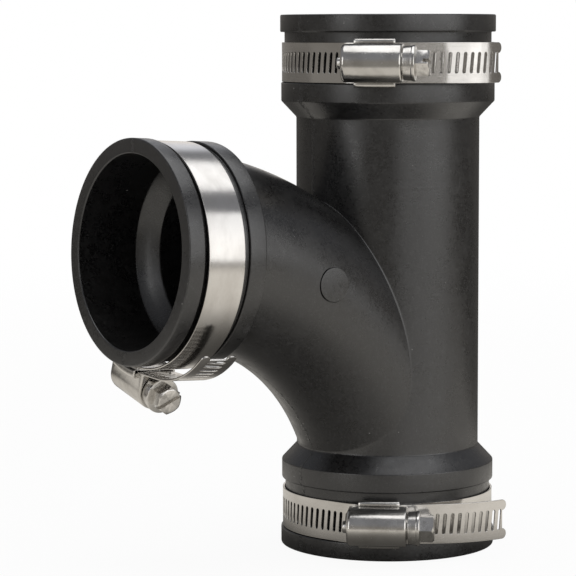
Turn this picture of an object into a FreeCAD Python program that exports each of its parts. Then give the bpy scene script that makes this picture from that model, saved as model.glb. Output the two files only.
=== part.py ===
import FreeCAD, Part
import math
import os

import Sketcher

# Flexible rubber tee for 60 mm pipe with its three worm-drive hose clamps, in millimetres.
# The origin is the middle of the lower socket's mouth. +Z runs up the straight run and the
# swept branch points along +X.

DIMENSIONS = [
    # Straight run and the collars that the three mouths share
    ("overall_height", 173.2, "run from mouth to mouth"),
    ("run_radius", 29.8, "outside of the run between its collars"),
    ("lip_radius", 35.0, "outside of the lip at each mouth"),
    ("lip_height", 5.6, "lip along the pipe"),
    ("groove_radius", 33.6, "floor of the clamp groove"),
    ("groove_width", 16.2, "clamp groove along the pipe"),
    ("rib_radius", 34.7, "rib that closes the groove"),
    ("rib_height", 6.0, "rib along the pipe"),
    ("taper_height", 5.2, "cone from the rib down to the run"),
    ("edge_break", 0.5, "bevel of the moulded edges"),
    # Waterways
    ("socket_radius", 30.2, "bore that takes the pipe"),
    ("socket_depth", 21.6, "straight depth of each socket"),
    ("stop_depth", 4.9, "cone that stops the pipe"),
    ("run_bore_radius", 26.0, "waterway of the run"),
    ("ledge", 0.6, "flat ring where the branch's stop meets the neck's waterway"),
    # Swept branch
    ("branch_height", 95.2, "where the branch axis meets the run axis"),
    ("branch_tilt_angle", 3.2, "rise of the branch axis towards its mouth, degrees"),
    ("branch_reach", 99.3, "branch mouth from the run axis"),
    ("neck_slope_angle", 11.4, "slope of the neck where it leaves the collar, degrees"),
    ("neck_root_angle", 3.4, "turn of the neck hidden inside the collar, degrees"),
    ("neck_set_back", 1.8, "where the neck's sweep would end, past the run axis"),
    ("neck_foot_rise", 6.2, "end of the neck's middle line above the lower rib"),
    ("neck_top_radius", 30.6, "neck at the collar"),
    ("neck_waist_radius", 28.35, "neck half way down"),
    ("neck_foot_radius", 27.25, "neck where it sinks into the run"),
    ("neck_wall", 3.4, "wall of the neck at its foot"),
    # Round mark that the mould's gate leaves on the neck's flank
    ("gate_radius", 5.4, "gate mark"),
    ("gate_reach", 42.2, "gate mark from the run axis along the branch"),
    ("gate_height", 89.8, "gate mark above the lower mouth"),
    ("gate_stand", 29.1, "face of the gate mark from the middle plane"),
    # Clamp band
    ("band_width", 12.7, "half inch strip"),
    ("band_thickness", 0.6, "strip"),
    ("band_clearance", 0.25, "slack between the ring and the groove's floor"),
    ("rest_gap", 0.2, "band from the shoulder that it rests on"),
    ("branch_rest_gap", 1.2, "the branch's slack band from the lip"),
    ("inner_end_angle", 8.0, "inner end of the strip before the housing's middle, degrees"),
    ("bridge_angle", 11.4, "half of the stretch that passes through the housing, degrees"),
    ("ramp_radius", 12.0, "bend where the strip climbs into the housing"),
    ("lobe_radius", 1.7, "rounded corners of the tail's end"),
    ("slot_length", 6.7, "slot across the strip"),
    ("slot_width", 1.05, "slot along the strip"),
    ("slot_pitch", 2.4, "slot to slot"),
    ("slot_lean_angle", 5.3, "lean of the slots, degrees"),
    ("slot_margin", 2.9, "tail's end to the first slot"),
    ("slotted_length", 99.0, "stretch of strip that has slots"),
    # Saddle
    ("saddle_length", 12.0, "saddle round the ring"),
    ("saddle_width", 15.3, "saddle along the pipe"),
    ("saddle_floor", 1.0, "saddle between the ring and the tail"),
    ("shoulder_gap", 0.15, "saddle's wings above the lip"),
    ("sheet_thickness", 0.75, "pressed sheet of the saddle and the housing"),
    # Screw housing
    ("housing_width", 12.0, "dome along the pipe"),
    ("housing_front", 9.1, "dome from its middle towards the screw head"),
    ("housing_back", 9.8, "dome from its middle towards the screw tip"),
    ("housing_bevel", 1.0, "bevelled end of the dome"),
    # Worm screw
    ("thread_radius", 4.2, "crest of the worm thread"),
    ("root_radius", 3.1, "root of the worm thread"),
    ("tip_radius", 2.0, "pin at the screw's tip"),
    ("tip_stand", 1.5, "pin past the housing"),
    ("journal_radius", 3.6, "neck that turns in the housing's front wall"),
    ("flange_radius", 5.6, "rim of the flange under the head"),
    ("flange_root_radius", 5.0, "flange next to the housing"),
    ("flange_rim", 0.9, "straight part of the flange's rim"),
    ("flange_thickness", 3.8, "flange"),
    ("hex_width", 8.0, "across the flats of the head"),
    ("hex_length", 4.5, "head"),
    ("drive_width", 1.2, "screwdriver slot"),
    ("drive_depth", 2.0, "screwdriver slot"),
    # Clearances
    ("running_gap", 0.05, "turning fit of the screw in the housing"),
    ("sliding_gap", 0.15, "strip to what it slides past, and folded sheet to sheet"),
    ("worm_gap", 0.3, "thread to the strip"),
    ("end_gap", 0.4, "flange to the housing's front"),
    # How the clamps are turned on their collars
    ("upper_clamp_angle", 46.5, "housing from the branch towards +Y, degrees"),
    ("lower_clamp_angle", 49.0, "housing from the branch towards +Y, degrees"),
    ("branch_clamp_angle", 14.8, "housing from straight down towards -Y, degrees"),
    # How tight each ring is: the branch's clamp is slack and hangs
    ("upper_ring_slack", 0.0, "ring's extra radius"),
    ("lower_ring_slack", 0.0, "ring's extra radius"),
    ("branch_ring_slack", 0.8, "ring's extra radius"),
    # How each tail is bent
    ("upper_tail_straight", 15.0, "straight part past the housing"),
    ("upper_tail_radius", 23.0, "curl"),
    ("upper_tail_curl_angle", 52.0, "curl, degrees"),
    ("lower_tail_straight", 12.0, "straight part past the housing"),
    ("lower_tail_radius", 40.0, "curl"),
    ("lower_tail_curl_angle", 34.0, "curl, degrees"),
    ("branch_tail_straight", 10.5, "straight part past the housing"),
    ("branch_tail_radius", 33.0, "curl"),
    ("branch_tail_curl_angle", 47.5, "curl, degrees"),
    # How the screws happen to stand
    ("upper_drive_angle", -13.0, "screwdriver slot from the housing's top, degrees"),
    ("lower_drive_angle", 75.0, "screwdriver slot from the housing's top, degrees"),
    ("branch_drive_angle", 120.0, "screwdriver slot from the housing's top, degrees"),
]

HEX_SIDES = 6
BORE_SECTIONS = 8
X = FreeCAD.Vector(1, 0, 0)
Y = FreeCAD.Vector(0, 1, 0)
Z = FreeCAD.Vector(0, 0, 1)

doc = FreeCAD.newDocument("flexible_tee")
sheet = doc.addObject("Spreadsheet::Sheet", "sizes")
for row, (alias, value, note) in enumerate(DIMENSIONS, start=1):
    sheet.set(f"A{row}", note)
    sheet.set(f"B{row}", str(value))
    sheet.setAlias(f"B{row}", alias)
doc.recompute()


class Size:
    """A size with the cell formula that it is bound to and its present value."""

    def __init__(self, text, value):
        self.text = text
        self.value = value

    @staticmethod
    def of(other):
        return other if isinstance(other, Size) else Size(str(other), float(other))

    def __add__(self, other):
        other = Size.of(other)
        return Size(f"({self.text} + {other.text})", self.value + other.value)

    def __sub__(self, other):
        other = Size.of(other)
        return Size(f"({self.text} - {other.text})", self.value - other.value)

    def __mul__(self, other):
        other = Size.of(other)
        return Size(f"({self.text} * {other.text})", self.value * other.value)

    def __truediv__(self, other):
        other = Size.of(other)
        return Size(f"({self.text} / {other.text})", self.value / other.value)

    def __neg__(self):
        return Size(f"(0 - {self.text})", -self.value)


def size(alias):
    return Size(f"sizes.{alias}", float(sheet.get(alias)))


def sine(angle):
    return Size(f"sin({angle.text})", math.sin(math.radians(angle.value)))


def cosine(angle):
    return Size(f"cos({angle.text})", math.cos(math.radians(angle.value)))


def larger(one, other):
    return Size(f"max({one.text}; {other.text})", max(one.value, other.value))


NONE = Size("0", 0.0)


def new_body(label):
    body = doc.addObject("PartDesign::Body", label)
    body.Label = label
    return body


def new_sketch(body, name, plane):
    """An empty sketch on one of the body's own origin planes."""
    sketch = body.newObject("Sketcher::SketchObject", name)
    support = next(f for f in body.Origin.OriginFeatures if f.Role == plane)
    sketch.AttachmentSupport = (support, [""])
    sketch.MapMode = "FlatFace"
    return sketch


def bind(sketch, constraint, target):
    """Adds a constraint and ties its value to the sheet."""
    index = sketch.addConstraint(constraint)
    sketch.setExpression(f"Constraints[{index}]", target.text)


def pin(sketch, edge, end, across, up):
    """Holds one end of an edge at its distances from the sketch's origin.

    To a sketch, -1 is its first axis, which starts at the origin, and -2 its second axis.
    """
    if across is NONE:
        sketch.addConstraint(Sketcher.Constraint("PointOnObject", edge, end, -2))
    else:
        bind(sketch, Sketcher.Constraint("DistanceX", -1, 1, edge, end, across.value), across)
    if up is NONE:
        sketch.addConstraint(Sketcher.Constraint("PointOnObject", edge, end, -1))
    else:
        bind(sketch, Sketcher.Constraint("DistanceY", -1, 1, edge, end, up.value), up)


def add_polygon(sketch, corners):
    """A closed outline of straight edges through corners given as pairs of sizes."""
    first = sketch.GeometryCount
    points = [FreeCAD.Vector(across.value, up.value, 0) for across, up in corners]
    for start, stop in zip(points, points[1:] + points[:1]):
        sketch.addGeometry(Part.LineSegment(start, stop))
    for number, (across, up) in enumerate(corners):
        following = (number + 1) % len(corners)
        sketch.addConstraint(
            Sketcher.Constraint("Coincident", first + number, 2, first + following, 1)
        )
        pin(sketch, first + number, 1, across, up)


def add_circle(sketch, across, up, radius):
    centre = FreeCAD.Vector(across.value, up.value, 0)
    circle = sketch.addGeometry(Part.Circle(centre, Z, radius.value))
    bind(sketch, Sketcher.Constraint("Radius", circle, radius.value), radius)
    pin(sketch, circle, 3, across, up)


def add_dome(sketch, half_width, centre, foot):
    """An outline with a half round top about centre and straight sides down to foot."""
    top = FreeCAD.Vector(0, centre.value, 0)
    arch = sketch.addGeometry(Part.ArcOfCircle(Part.Circle(top, Z, half_width.value), 0, math.pi))
    left = FreeCAD.Vector(-half_width.value, centre.value, 0)
    left_foot = FreeCAD.Vector(-half_width.value, foot.value, 0)
    right_foot = FreeCAD.Vector(half_width.value, foot.value, 0)
    right = FreeCAD.Vector(half_width.value, centre.value, 0)
    sides = [
        sketch.addGeometry(Part.LineSegment(left, left_foot)),
        sketch.addGeometry(Part.LineSegment(left_foot, right_foot)),
        sketch.addGeometry(Part.LineSegment(right_foot, right)),
    ]
    chain = [arch] + sides
    for edge, following in zip(chain, chain[1:]):
        sketch.addConstraint(Sketcher.Constraint("Coincident", edge, 2, following, 1))
    sketch.addConstraint(Sketcher.Constraint("Coincident", sides[2], 2, arch, 1))
    pin(sketch, sides[1], 1, -half_width, foot)
    pin(sketch, sides[1], 2, half_width, foot)
    pin(sketch, sides[0], 1, -half_width, centre)
    pin(sketch, arch, 3, NONE, centre)


def revolve(body, name, sketch, axis, cut=False, turn=None):
    kind = "PartDesign::Groove" if cut else "PartDesign::Revolution"
    feature = body.newObject(kind, name)
    feature.Profile = sketch
    feature.ReferenceAxis = (sketch, [axis])
    feature.Angle = 360
    if turn is not None:
        feature.Midplane = True
        feature.setExpression("Angle", turn.text)
    return feature


def pad(body, name, sketch, length, reverse=False, middle=False):
    feature = body.newObject("PartDesign::Pad", name)
    feature.Profile = sketch
    feature.setExpression("Length", length.text)
    feature.Reversed = reverse
    feature.Midplane = middle
    return feature


def pocket(body, name, sketch, length, reverse=False, middle=False):
    feature = body.newObject("PartDesign::Pocket", name)
    feature.Profile = sketch
    feature.setExpression("Length", length.text)
    feature.Reversed = reverse
    feature.Midplane = middle
    return feature


def offset_sketch(sketch, distance):
    """Lifts a sketch off its plane along the plane's normal."""
    sketch.setExpression("AttachmentOffset.Base.z", distance.text)


def bevel_edges(body, name, base, chosen, breadth):
    """Bevels the edges of the base feature that the chosen test picks."""
    names = [
        f"Edge{number}"
        for number, edge in enumerate(base.Shape.Edges, start=1)
        if chosen(edge)
    ]
    feature = body.newObject("PartDesign::Chamfer", name)
    feature.Base = (base, names)
    feature.setExpression("Size", breadth.text)
    return feature


# Tee body

def collar_corners(mouth, inward):
    """The outside of one collar, from its mouth to the end of its rib."""
    lip = mouth + inward * size("lip_height")
    rib = lip + inward * size("groove_width")
    end = rib + inward * size("rib_height")
    bevel = size("edge_break")
    return [
        (size("lip_radius") - bevel, mouth),
        (size("lip_radius"), mouth + inward * bevel),
        (size("lip_radius"), lip - inward * bevel),
        (size("lip_radius") - bevel, lip),
        (size("groove_radius"), lip),
        (size("groove_radius"), rib),
        (size("rib_radius") - bevel, rib),
        (size("rib_radius"), rib + inward * bevel),
        (size("rib_radius"), end),
    ]


def neck_start():
    """The end of the branch collar's rib, measured along the branch axis."""
    collar = size("lip_height") + size("groove_width") + size("rib_height")
    return size("branch_reach") - collar


def bend_radius():
    """The sweep that takes the neck from the branch collar down into the run."""
    across = neck_start() * cosine(size("branch_tilt_angle")) + size("neck_set_back")
    return across / (Size.of(1) - sine(size("neck_slope_angle")))


def bend_centre():
    """The centre that the neck sweeps about, in the plane of the two axes."""
    rise = neck_start() * sine(size("branch_tilt_angle"))
    drop = bend_radius() * cosine(size("neck_slope_angle"))
    return bend_radius() - size("neck_set_back"), size("branch_height") + rise - drop


def add_run(body):
    sketch = new_sketch(body, "run_outline", "XZ_Plane")
    height = size("overall_height")
    taper = size("taper_height")
    lower = collar_corners(NONE, Size.of(1))
    upper = collar_corners(height, Size.of(-1))
    lower_end = lower[-1][1]
    upper_end = upper[-1][1]
    corners = [(NONE, NONE)] + lower
    corners += [(size("run_radius"), lower_end + taper), (size("run_radius"), upper_end - taper)]
    corners += upper[::-1] + [(NONE, height)]
    add_polygon(sketch, corners)
    return revolve(body, "run", sketch, "V_Axis")


def branch_sketch(body, name):
    """A sketch whose first axis is the branch axis, starting on the run axis."""
    sketch = new_sketch(body, name, "XZ_Plane")
    sketch.AttachmentOffset = FreeCAD.Placement(FreeCAD.Vector(), FreeCAD.Rotation(Z, 1))
    sketch.setExpression("AttachmentOffset.Base.y", "sizes.branch_height")
    sketch.setExpression("AttachmentOffset.Rotation.Angle", "sizes.branch_tilt_angle")
    return sketch


def add_branch_collar(body):
    sketch = branch_sketch(body, "branch_collar_outline")
    reach = size("branch_reach")
    sides = [(along, radius) for radius, along in collar_corners(reach, Size.of(-1))]
    add_polygon(sketch, [(reach, NONE)] + sides + [(neck_start(), NONE)])
    return revolve(body, "branch_collar", sketch, "H_Axis")


def add_neck_path(body):
    """The arc that the neck and its waterway follow, from inside the collar into the run."""
    sketch = new_sketch(body, "neck_path", "XZ_Plane")
    across, up = bend_centre()
    radius = bend_radius()
    top = size("neck_slope_angle") - size("neck_root_angle")
    foot = size("lip_height") + size("groove_width") + size("rib_height") + size("neck_foot_rise")
    start = math.radians(90 + top.value)
    stop = math.pi - math.asin((foot.value - up.value) / radius.value)
    centre = FreeCAD.Vector(across.value, up.value, 0)
    sketch.addGeometry(Part.ArcOfCircle(Part.Circle(centre, Z, radius.value), start, stop))
    bind(sketch, Sketcher.Constraint("Radius", 0, radius.value), radius)
    pin(sketch, 0, 3, across, up)
    first = across - radius * sine(top)
    bind(sketch, Sketcher.Constraint("DistanceX", -1, 1, 0, 1, first.value), first)
    bind(sketch, Sketcher.Constraint("DistanceY", -1, 1, 0, 2, foot.value), foot)
    return sketch


def neck_section(body, name, path, share, radius):
    """A circle square to the neck's path at a share of its length."""
    sketch = body.newObject("Sketcher::SketchObject", name)
    sketch.AttachmentSupport = (path, ["Edge1"])
    sketch.MapMode = "NormalToEdge"
    sketch.MapPathParameter = share
    add_circle(sketch, NONE, NONE, radius)
    return sketch


def add_neck(body, path):
    sections = [
        neck_section(body, "neck_top", path, 0.0, size("neck_top_radius")),
        neck_section(body, "neck_waist", path, 0.5, size("neck_waist_radius")),
        neck_section(body, "neck_foot", path, 1.0, size("neck_foot_radius")),
    ]
    neck = body.newObject("PartDesign::AdditivePipe", "neck")
    neck.Profile = sections[0]
    neck.Spine = (path, ["Edge1"])
    neck.Transformation = "Multisection"
    neck.Sections = sections[1:]
    return neck


def add_gate_mark(body):
    sketch = new_sketch(body, "gate_outline", "XZ_Plane")
    add_circle(sketch, size("gate_reach"), size("gate_height"), size("gate_radius"))
    return pad(body, "gate_mark", sketch, size("gate_stand"), reverse=True)


def cut_waterways(body, path):
    run = new_sketch(body, "run_waterway", "XZ_Plane")
    height = size("overall_height")
    depth = size("socket_depth")
    stop = depth + size("stop_depth")
    socket = size("socket_radius")
    bore = size("run_bore_radius")
    lower = [(NONE, NONE), (socket, NONE), (socket, depth), (bore, stop)]
    upper = [(bore, height - stop), (socket, height - depth), (socket, height), (NONE, height)]
    add_polygon(run, lower + upper)
    revolve(body, "run_bore", run, "V_Axis", cut=True)

    neck_bore = size("neck_foot_radius") - size("neck_wall")
    reach = size("branch_reach")
    branch = branch_sketch(body, "branch_waterway")
    seat = [(reach, NONE), (reach, socket), (reach - depth, socket)]
    seat += [(reach - stop, neck_bore + size("ledge")), (reach - stop, NONE)]
    add_polygon(branch, seat)
    revolve(body, "branch_socket", branch, "H_Axis", cut=True)

    sections = [
        neck_section(body, f"bore_section_{number}", path, number / (BORE_SECTIONS - 1), neck_bore)
        for number in range(BORE_SECTIONS)
    ]
    waterway = body.newObject("PartDesign::SubtractiveLoft", "neck_bore")
    waterway.Profile = sections[0]
    waterway.Sections = sections[1:]
    waterway.Ruled = True


def make_tee_body():
    body = new_body("tee_body")
    add_run(body)
    path = add_neck_path(body)
    add_neck(body, path)
    add_gate_mark(body)
    add_branch_collar(body)
    cut_waterways(body, path)
    return body


# Clamp: every piece is made with the ring's axis along Z, the housing over +Y and the
# screw's head towards +X.

class Clamp:
    """Which clamp it is, and the radii that follow from how tight its ring is."""

    def __init__(self, prefix):
        self.prefix = prefix

    def own(self, name):
        """A size that each clamp has for itself."""
        return size(f"{self.prefix}_{name}")

    def ring_radius(self):
        """The inner face of the band's ring."""
        return size("groove_radius") + size("band_clearance") + self.own("ring_slack")

    def saddle_seat(self):
        """The outer face of the ring, which the saddle lies on."""
        return self.ring_radius() + size("band_thickness")

    def wing_radius(self):
        """The underside of the saddle's wings, clear of the lip and of the rib."""
        highest = larger(size("lip_radius"), size("rib_radius"))
        return highest + size("shoulder_gap") + self.own("ring_slack")

    def floor_radius(self):
        """The top of the saddle's floor, which a high lip or rib lifts with the wings."""
        least = self.wing_radius() + size("sliding_gap")
        return larger(self.saddle_seat() + size("saddle_floor"), least)

    def bridge_radius(self):
        """The inner face of the strip where it passes through the housing."""
        return self.floor_radius() + size("sliding_gap")

    def strip_top(self):
        """The outer face of the strip where it passes through the housing."""
        return self.bridge_radius() + size("band_thickness")

    def housing_seat(self):
        """The underside of the housing, over the strip that passes through it."""
        return self.strip_top() + size("sliding_gap")

    def screw_height(self):
        """The screw's axis above the ring's axis."""
        return self.strip_top() + size("worm_gap") + size("thread_radius")

    def saddle_turn(self):
        """How far the saddle and the housing's flanges reach round the ring, in degrees."""
        return size("saddle_length") / self.saddle_seat() * (180 / math.pi)


class StripPath:
    """The inner face of the strip, as tangent lines and clockwise arcs."""

    def __init__(self, start, heading):
        self.pieces = []
        self.point = start
        self.heading = heading
        self.length = 0.0

    def line(self, length):
        self.pieces.append((self.length, length, self.point, self.heading, None))
        self.point = self.point + self.direction(self.heading) * length
        self.length += length

    def arc(self, radius, turn):
        length = radius * turn
        self.pieces.append((self.length, length, self.point, self.heading, radius))
        self.point, self.heading = self.along_arc(self.point, self.heading, radius, length)
        self.length += length

    @staticmethod
    def direction(heading):
        return FreeCAD.Vector(math.cos(heading), math.sin(heading), 0)

    @staticmethod
    def outward(heading):
        return FreeCAD.Vector(-math.sin(heading), math.cos(heading), 0)

    @staticmethod
    def along_arc(point, heading, radius, length):
        turned = heading - length / radius
        centre = point - StripPath.outward(heading) * radius
        return centre + StripPath.outward(turned) * radius, turned

    def at(self, distance):
        """The point and heading at a distance along the strip."""
        for begin, length, point, heading, radius in self.pieces:
            if distance <= begin + length:
                break
        part = distance - begin
        if radius is None:
            return point + self.direction(heading) * part, heading
        return self.along_arc(point, heading, radius, part)

    def edge(self, piece, offset):
        """One piece of the path, moved outward by an offset."""
        begin, length, _, _, radius = piece
        shares = (0.0, 0.5, 1.0)
        ends = [self.at(begin + length * share) for share in shares]
        points = [point + self.outward(heading) * offset for point, heading in ends]
        if radius is None:
            return Part.LineSegment(points[0], points[2]).toShape()
        return Part.Arc(*points).toShape()

    def outline(self, thickness):
        """The strip's edge-on outline."""
        inner = [self.edge(piece, 0.0) for piece in self.pieces]
        outer = [self.edge(piece, thickness) for piece in self.pieces]
        first, heading = self.at(0.0)
        last, last_heading = self.at(self.length)
        caps = [
            Part.LineSegment(first, first + self.outward(heading) * thickness).toShape(),
            Part.LineSegment(last, last + self.outward(last_heading) * thickness).toShape(),
        ]
        return Part.Wire(Part.__sortEdges__(inner + outer + caps))


def strip_path(clamp):
    """From the strip's inner end under the housing, round the ring and out to the tail."""
    ring = clamp.ring_radius().value
    bridge = clamp.bridge_radius().value
    bend = size("ramp_radius").value
    before = math.radians(size("inner_end_angle").value)
    half_bridge = math.radians(size("bridge_angle").value)
    ramp_turn = math.acos((ring - bend) / (bridge - bend))
    ramp_length = (bridge - bend) * math.sin(ramp_turn)
    round_turn = 2 * math.pi - half_bridge - ramp_turn + before
    start = FreeCAD.Vector(-ring * math.sin(before), ring * math.cos(before), 0)
    path = StripPath(start, before)
    path.arc(ring, round_turn)
    path.line(ramp_length)
    path.arc(bend, ramp_turn)
    path.arc(bridge, 2 * half_bridge)
    path.line(clamp.own("tail_straight").value)
    path.arc(clamp.own("tail_radius").value, math.radians(clamp.own("tail_curl_angle").value))
    return path


def across_strip(path, distance, slant):
    """The placement of a tool on the strip: X along it, Z out of it, leaning by slant."""
    point, heading = path.at(distance)
    along = path.direction(heading)
    out = path.outward(heading)
    turn = FreeCAD.Rotation(along, out.cross(along), out, "ZXY")
    return FreeCAD.Placement(point, turn * FreeCAD.Rotation(Z, slant))


def slot_tool(depth):
    """A slot with pointed ends, standing on its middle and cutting through the strip."""
    half = size("slot_width").value / 2
    end = size("slot_length").value / 2
    straight = end - half
    corners = [(half, -straight), (half, straight), (0, end)]
    corners += [(-across, -along) for across, along in corners]
    points = [FreeCAD.Vector(across, along, 0) for across, along in corners]
    tool = Part.Face(Part.makePolygon(points + points[:1])).extrude(Z * (3 * depth))
    tool.translate(Z * -depth)
    return tool


def tail_tool(depth):
    """What is cut off the tail's end so that two round lobes stand out of it."""
    lobe = size("lobe_radius").value
    width = size("band_width").value
    corner = FreeCAD.Vector(-lobe, -width, -depth)
    tool = Part.makeBox(3 * lobe, 2 * width, 3 * depth, corner)
    for side in (-1, 1):
        middle = FreeCAD.Vector(-lobe, side * (width / 2 - lobe), -depth)
        tool = tool.cut(Part.makeCylinder(lobe, 3 * depth, middle))
    return tool


def make_band(clamp, name):
    """One strip: its ring, the stretch through the housing, and the slotted, lobed tail."""
    path = strip_path(clamp)
    thickness = size("band_thickness").value
    width = size("band_width").value
    strip = Part.Face(path.outline(thickness)).extrude(Z * width)
    strip.translate(Z * (-width / 2))
    reach = size("slot_margin").value
    tools = []
    while reach < size("slotted_length").value:
        tool = slot_tool(thickness)
        tool.Placement = across_strip(path, path.length - reach, size("slot_lean_angle").value)
        tools.append(tool)
        reach += size("slot_pitch").value
    end = tail_tool(thickness)
    end.Placement = across_strip(path, path.length, 0)
    band = doc.addObject("Part::Feature", name)
    band.Label = name
    band.Shape = strip.cut(tools + [end])
    return band


def make_saddle(clamp, name):
    """A folded plate: a floor on the ring, wings over the shoulders and lips that hold the housing."""
    body = new_body(name)
    sketch = new_sketch(body, "saddle_section", "YZ_Plane")
    seat = clamp.saddle_seat()
    floor = clamp.floor_radius()
    wing = clamp.wing_radius()
    lip_foot = clamp.housing_seat() + size("sheet_thickness")
    lip_top = lip_foot + size("sheet_thickness")
    outside = size("saddle_width") / 2
    inside = outside - size("sheet_thickness")
    plate = size("band_width") / 2
    grip = outside - size("sheet_thickness") * 2
    half = [
        (seat, plate),
        (wing, plate),
        (wing, outside),
        (lip_top, outside),
        (lip_top, grip),
        (lip_foot, grip),
        (lip_foot, inside),
        (floor, inside),
    ]
    mirrored = [(out, -along) for out, along in half]
    add_polygon(sketch, half + mirrored[::-1])
    revolve(body, "saddle_plate", sketch, "V_Axis", turn=clamp.saddle_turn())
    return body


def make_housing(clamp, name):
    """A pressed dome, open below, with a wall at each end for the screw to turn in."""
    body = new_body(name)
    half_width = size("housing_width") / 2
    sheet_gauge = size("sheet_thickness")
    height = clamp.screw_height()
    seat = clamp.housing_seat()
    front = size("housing_front")
    back = size("housing_back")

    shell = new_sketch(body, "dome_outline", "YZ_Plane")
    add_side_dome(shell, half_width, height, seat - size("housing_bevel") * 2)
    offset_sketch(shell, -back)
    dome = pad(body, "dome", shell, front + back)
    doc.recompute()

    def dome_end(edge):
        low = edge.BoundBox.XMin
        flat = edge.BoundBox.XMax - low < 0.01
        return flat and abs(low + back.value) < 0.01 and edge.BoundBox.YMax > height.value - 0.01

    bevel_edges(body, "bevelled_end", dome, dome_end, size("housing_bevel"))

    inside = new_sketch(body, "cavity_outline", "YZ_Plane")
    add_side_dome(inside, half_width - sheet_gauge, height, seat - size("housing_bevel") * 3)
    offset_sketch(inside, sheet_gauge - back)
    pocket(body, "cavity", inside, front + back - sheet_gauge * 2, reverse=True)

    flange = new_sketch(body, "flange_section", "YZ_Plane")
    edge = size("saddle_width") / 2 - sheet_gauge - size("sliding_gap")
    fold = half_width - sheet_gauge
    for side in (Size.of(1), Size.of(-1)):
        corners = [
            (seat, side * fold),
            (seat, side * edge),
            (seat + sheet_gauge, side * edge),
            (seat + sheet_gauge, side * fold),
        ]
        add_polygon(flange, corners)
    revolve(body, "side_flanges", flange, "V_Axis", turn=clamp.saddle_turn())

    underside = new_sketch(body, "underside_outline", "XY_Plane")
    add_circle(underside, NONE, NONE, seat)
    pocket(body, "underside", underside, size("saddle_width") * 2, middle=True)

    foot = seat - size("housing_bevel") * 3
    add_bearing(body, "tip", size("tip_radius"), (height, foot), back, False)
    add_bearing(body, "journal", size("journal_radius"), (height, foot), front, True)
    return body


def add_bearing(body, name, radius, levels, reach, forward):
    """A bearing in one end wall, open below so that the screw drops in before the saddle goes on."""
    room = radius + size("running_gap")
    height, foot = levels
    hole = new_sketch(body, f"{name}_hole_outline", "YZ_Plane")
    add_circle(hole, height, NONE, room)
    pocket(body, f"{name}_hole", hole, reach * 2, reverse=forward)
    mouth = new_sketch(body, f"{name}_mouth_outline", "YZ_Plane")
    add_polygon(mouth, [(height, -room), (height, room), (foot, room), (foot, -room)])
    pocket(body, f"{name}_mouth", mouth, reach * 2, reverse=forward)


def add_side_dome(sketch, half_width, centre, foot):
    """A dome outline whose height runs along the sketch's first axis."""
    top = FreeCAD.Vector(centre.value, 0, 0)
    quarter = math.pi / 2
    arch = sketch.addGeometry(
        Part.ArcOfCircle(Part.Circle(top, Z, half_width.value), -quarter, quarter)
    )
    near = FreeCAD.Vector(centre.value, half_width.value, 0)
    near_foot = FreeCAD.Vector(foot.value, half_width.value, 0)
    far_foot = FreeCAD.Vector(foot.value, -half_width.value, 0)
    far = FreeCAD.Vector(centre.value, -half_width.value, 0)
    sides = [
        sketch.addGeometry(Part.LineSegment(near, near_foot)),
        sketch.addGeometry(Part.LineSegment(near_foot, far_foot)),
        sketch.addGeometry(Part.LineSegment(far_foot, far)),
    ]
    chain = [arch] + sides
    for edge, following in zip(chain, chain[1:]):
        sketch.addConstraint(Sketcher.Constraint("Coincident", edge, 2, following, 1))
    sketch.addConstraint(Sketcher.Constraint("Coincident", sides[2], 2, arch, 1))
    pin(sketch, sides[0], 1, centre, half_width)
    pin(sketch, sides[1], 1, foot, half_width)
    pin(sketch, sides[2], 1, foot, -half_width)
    pin(sketch, arch, 3, centre, NONE)


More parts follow.
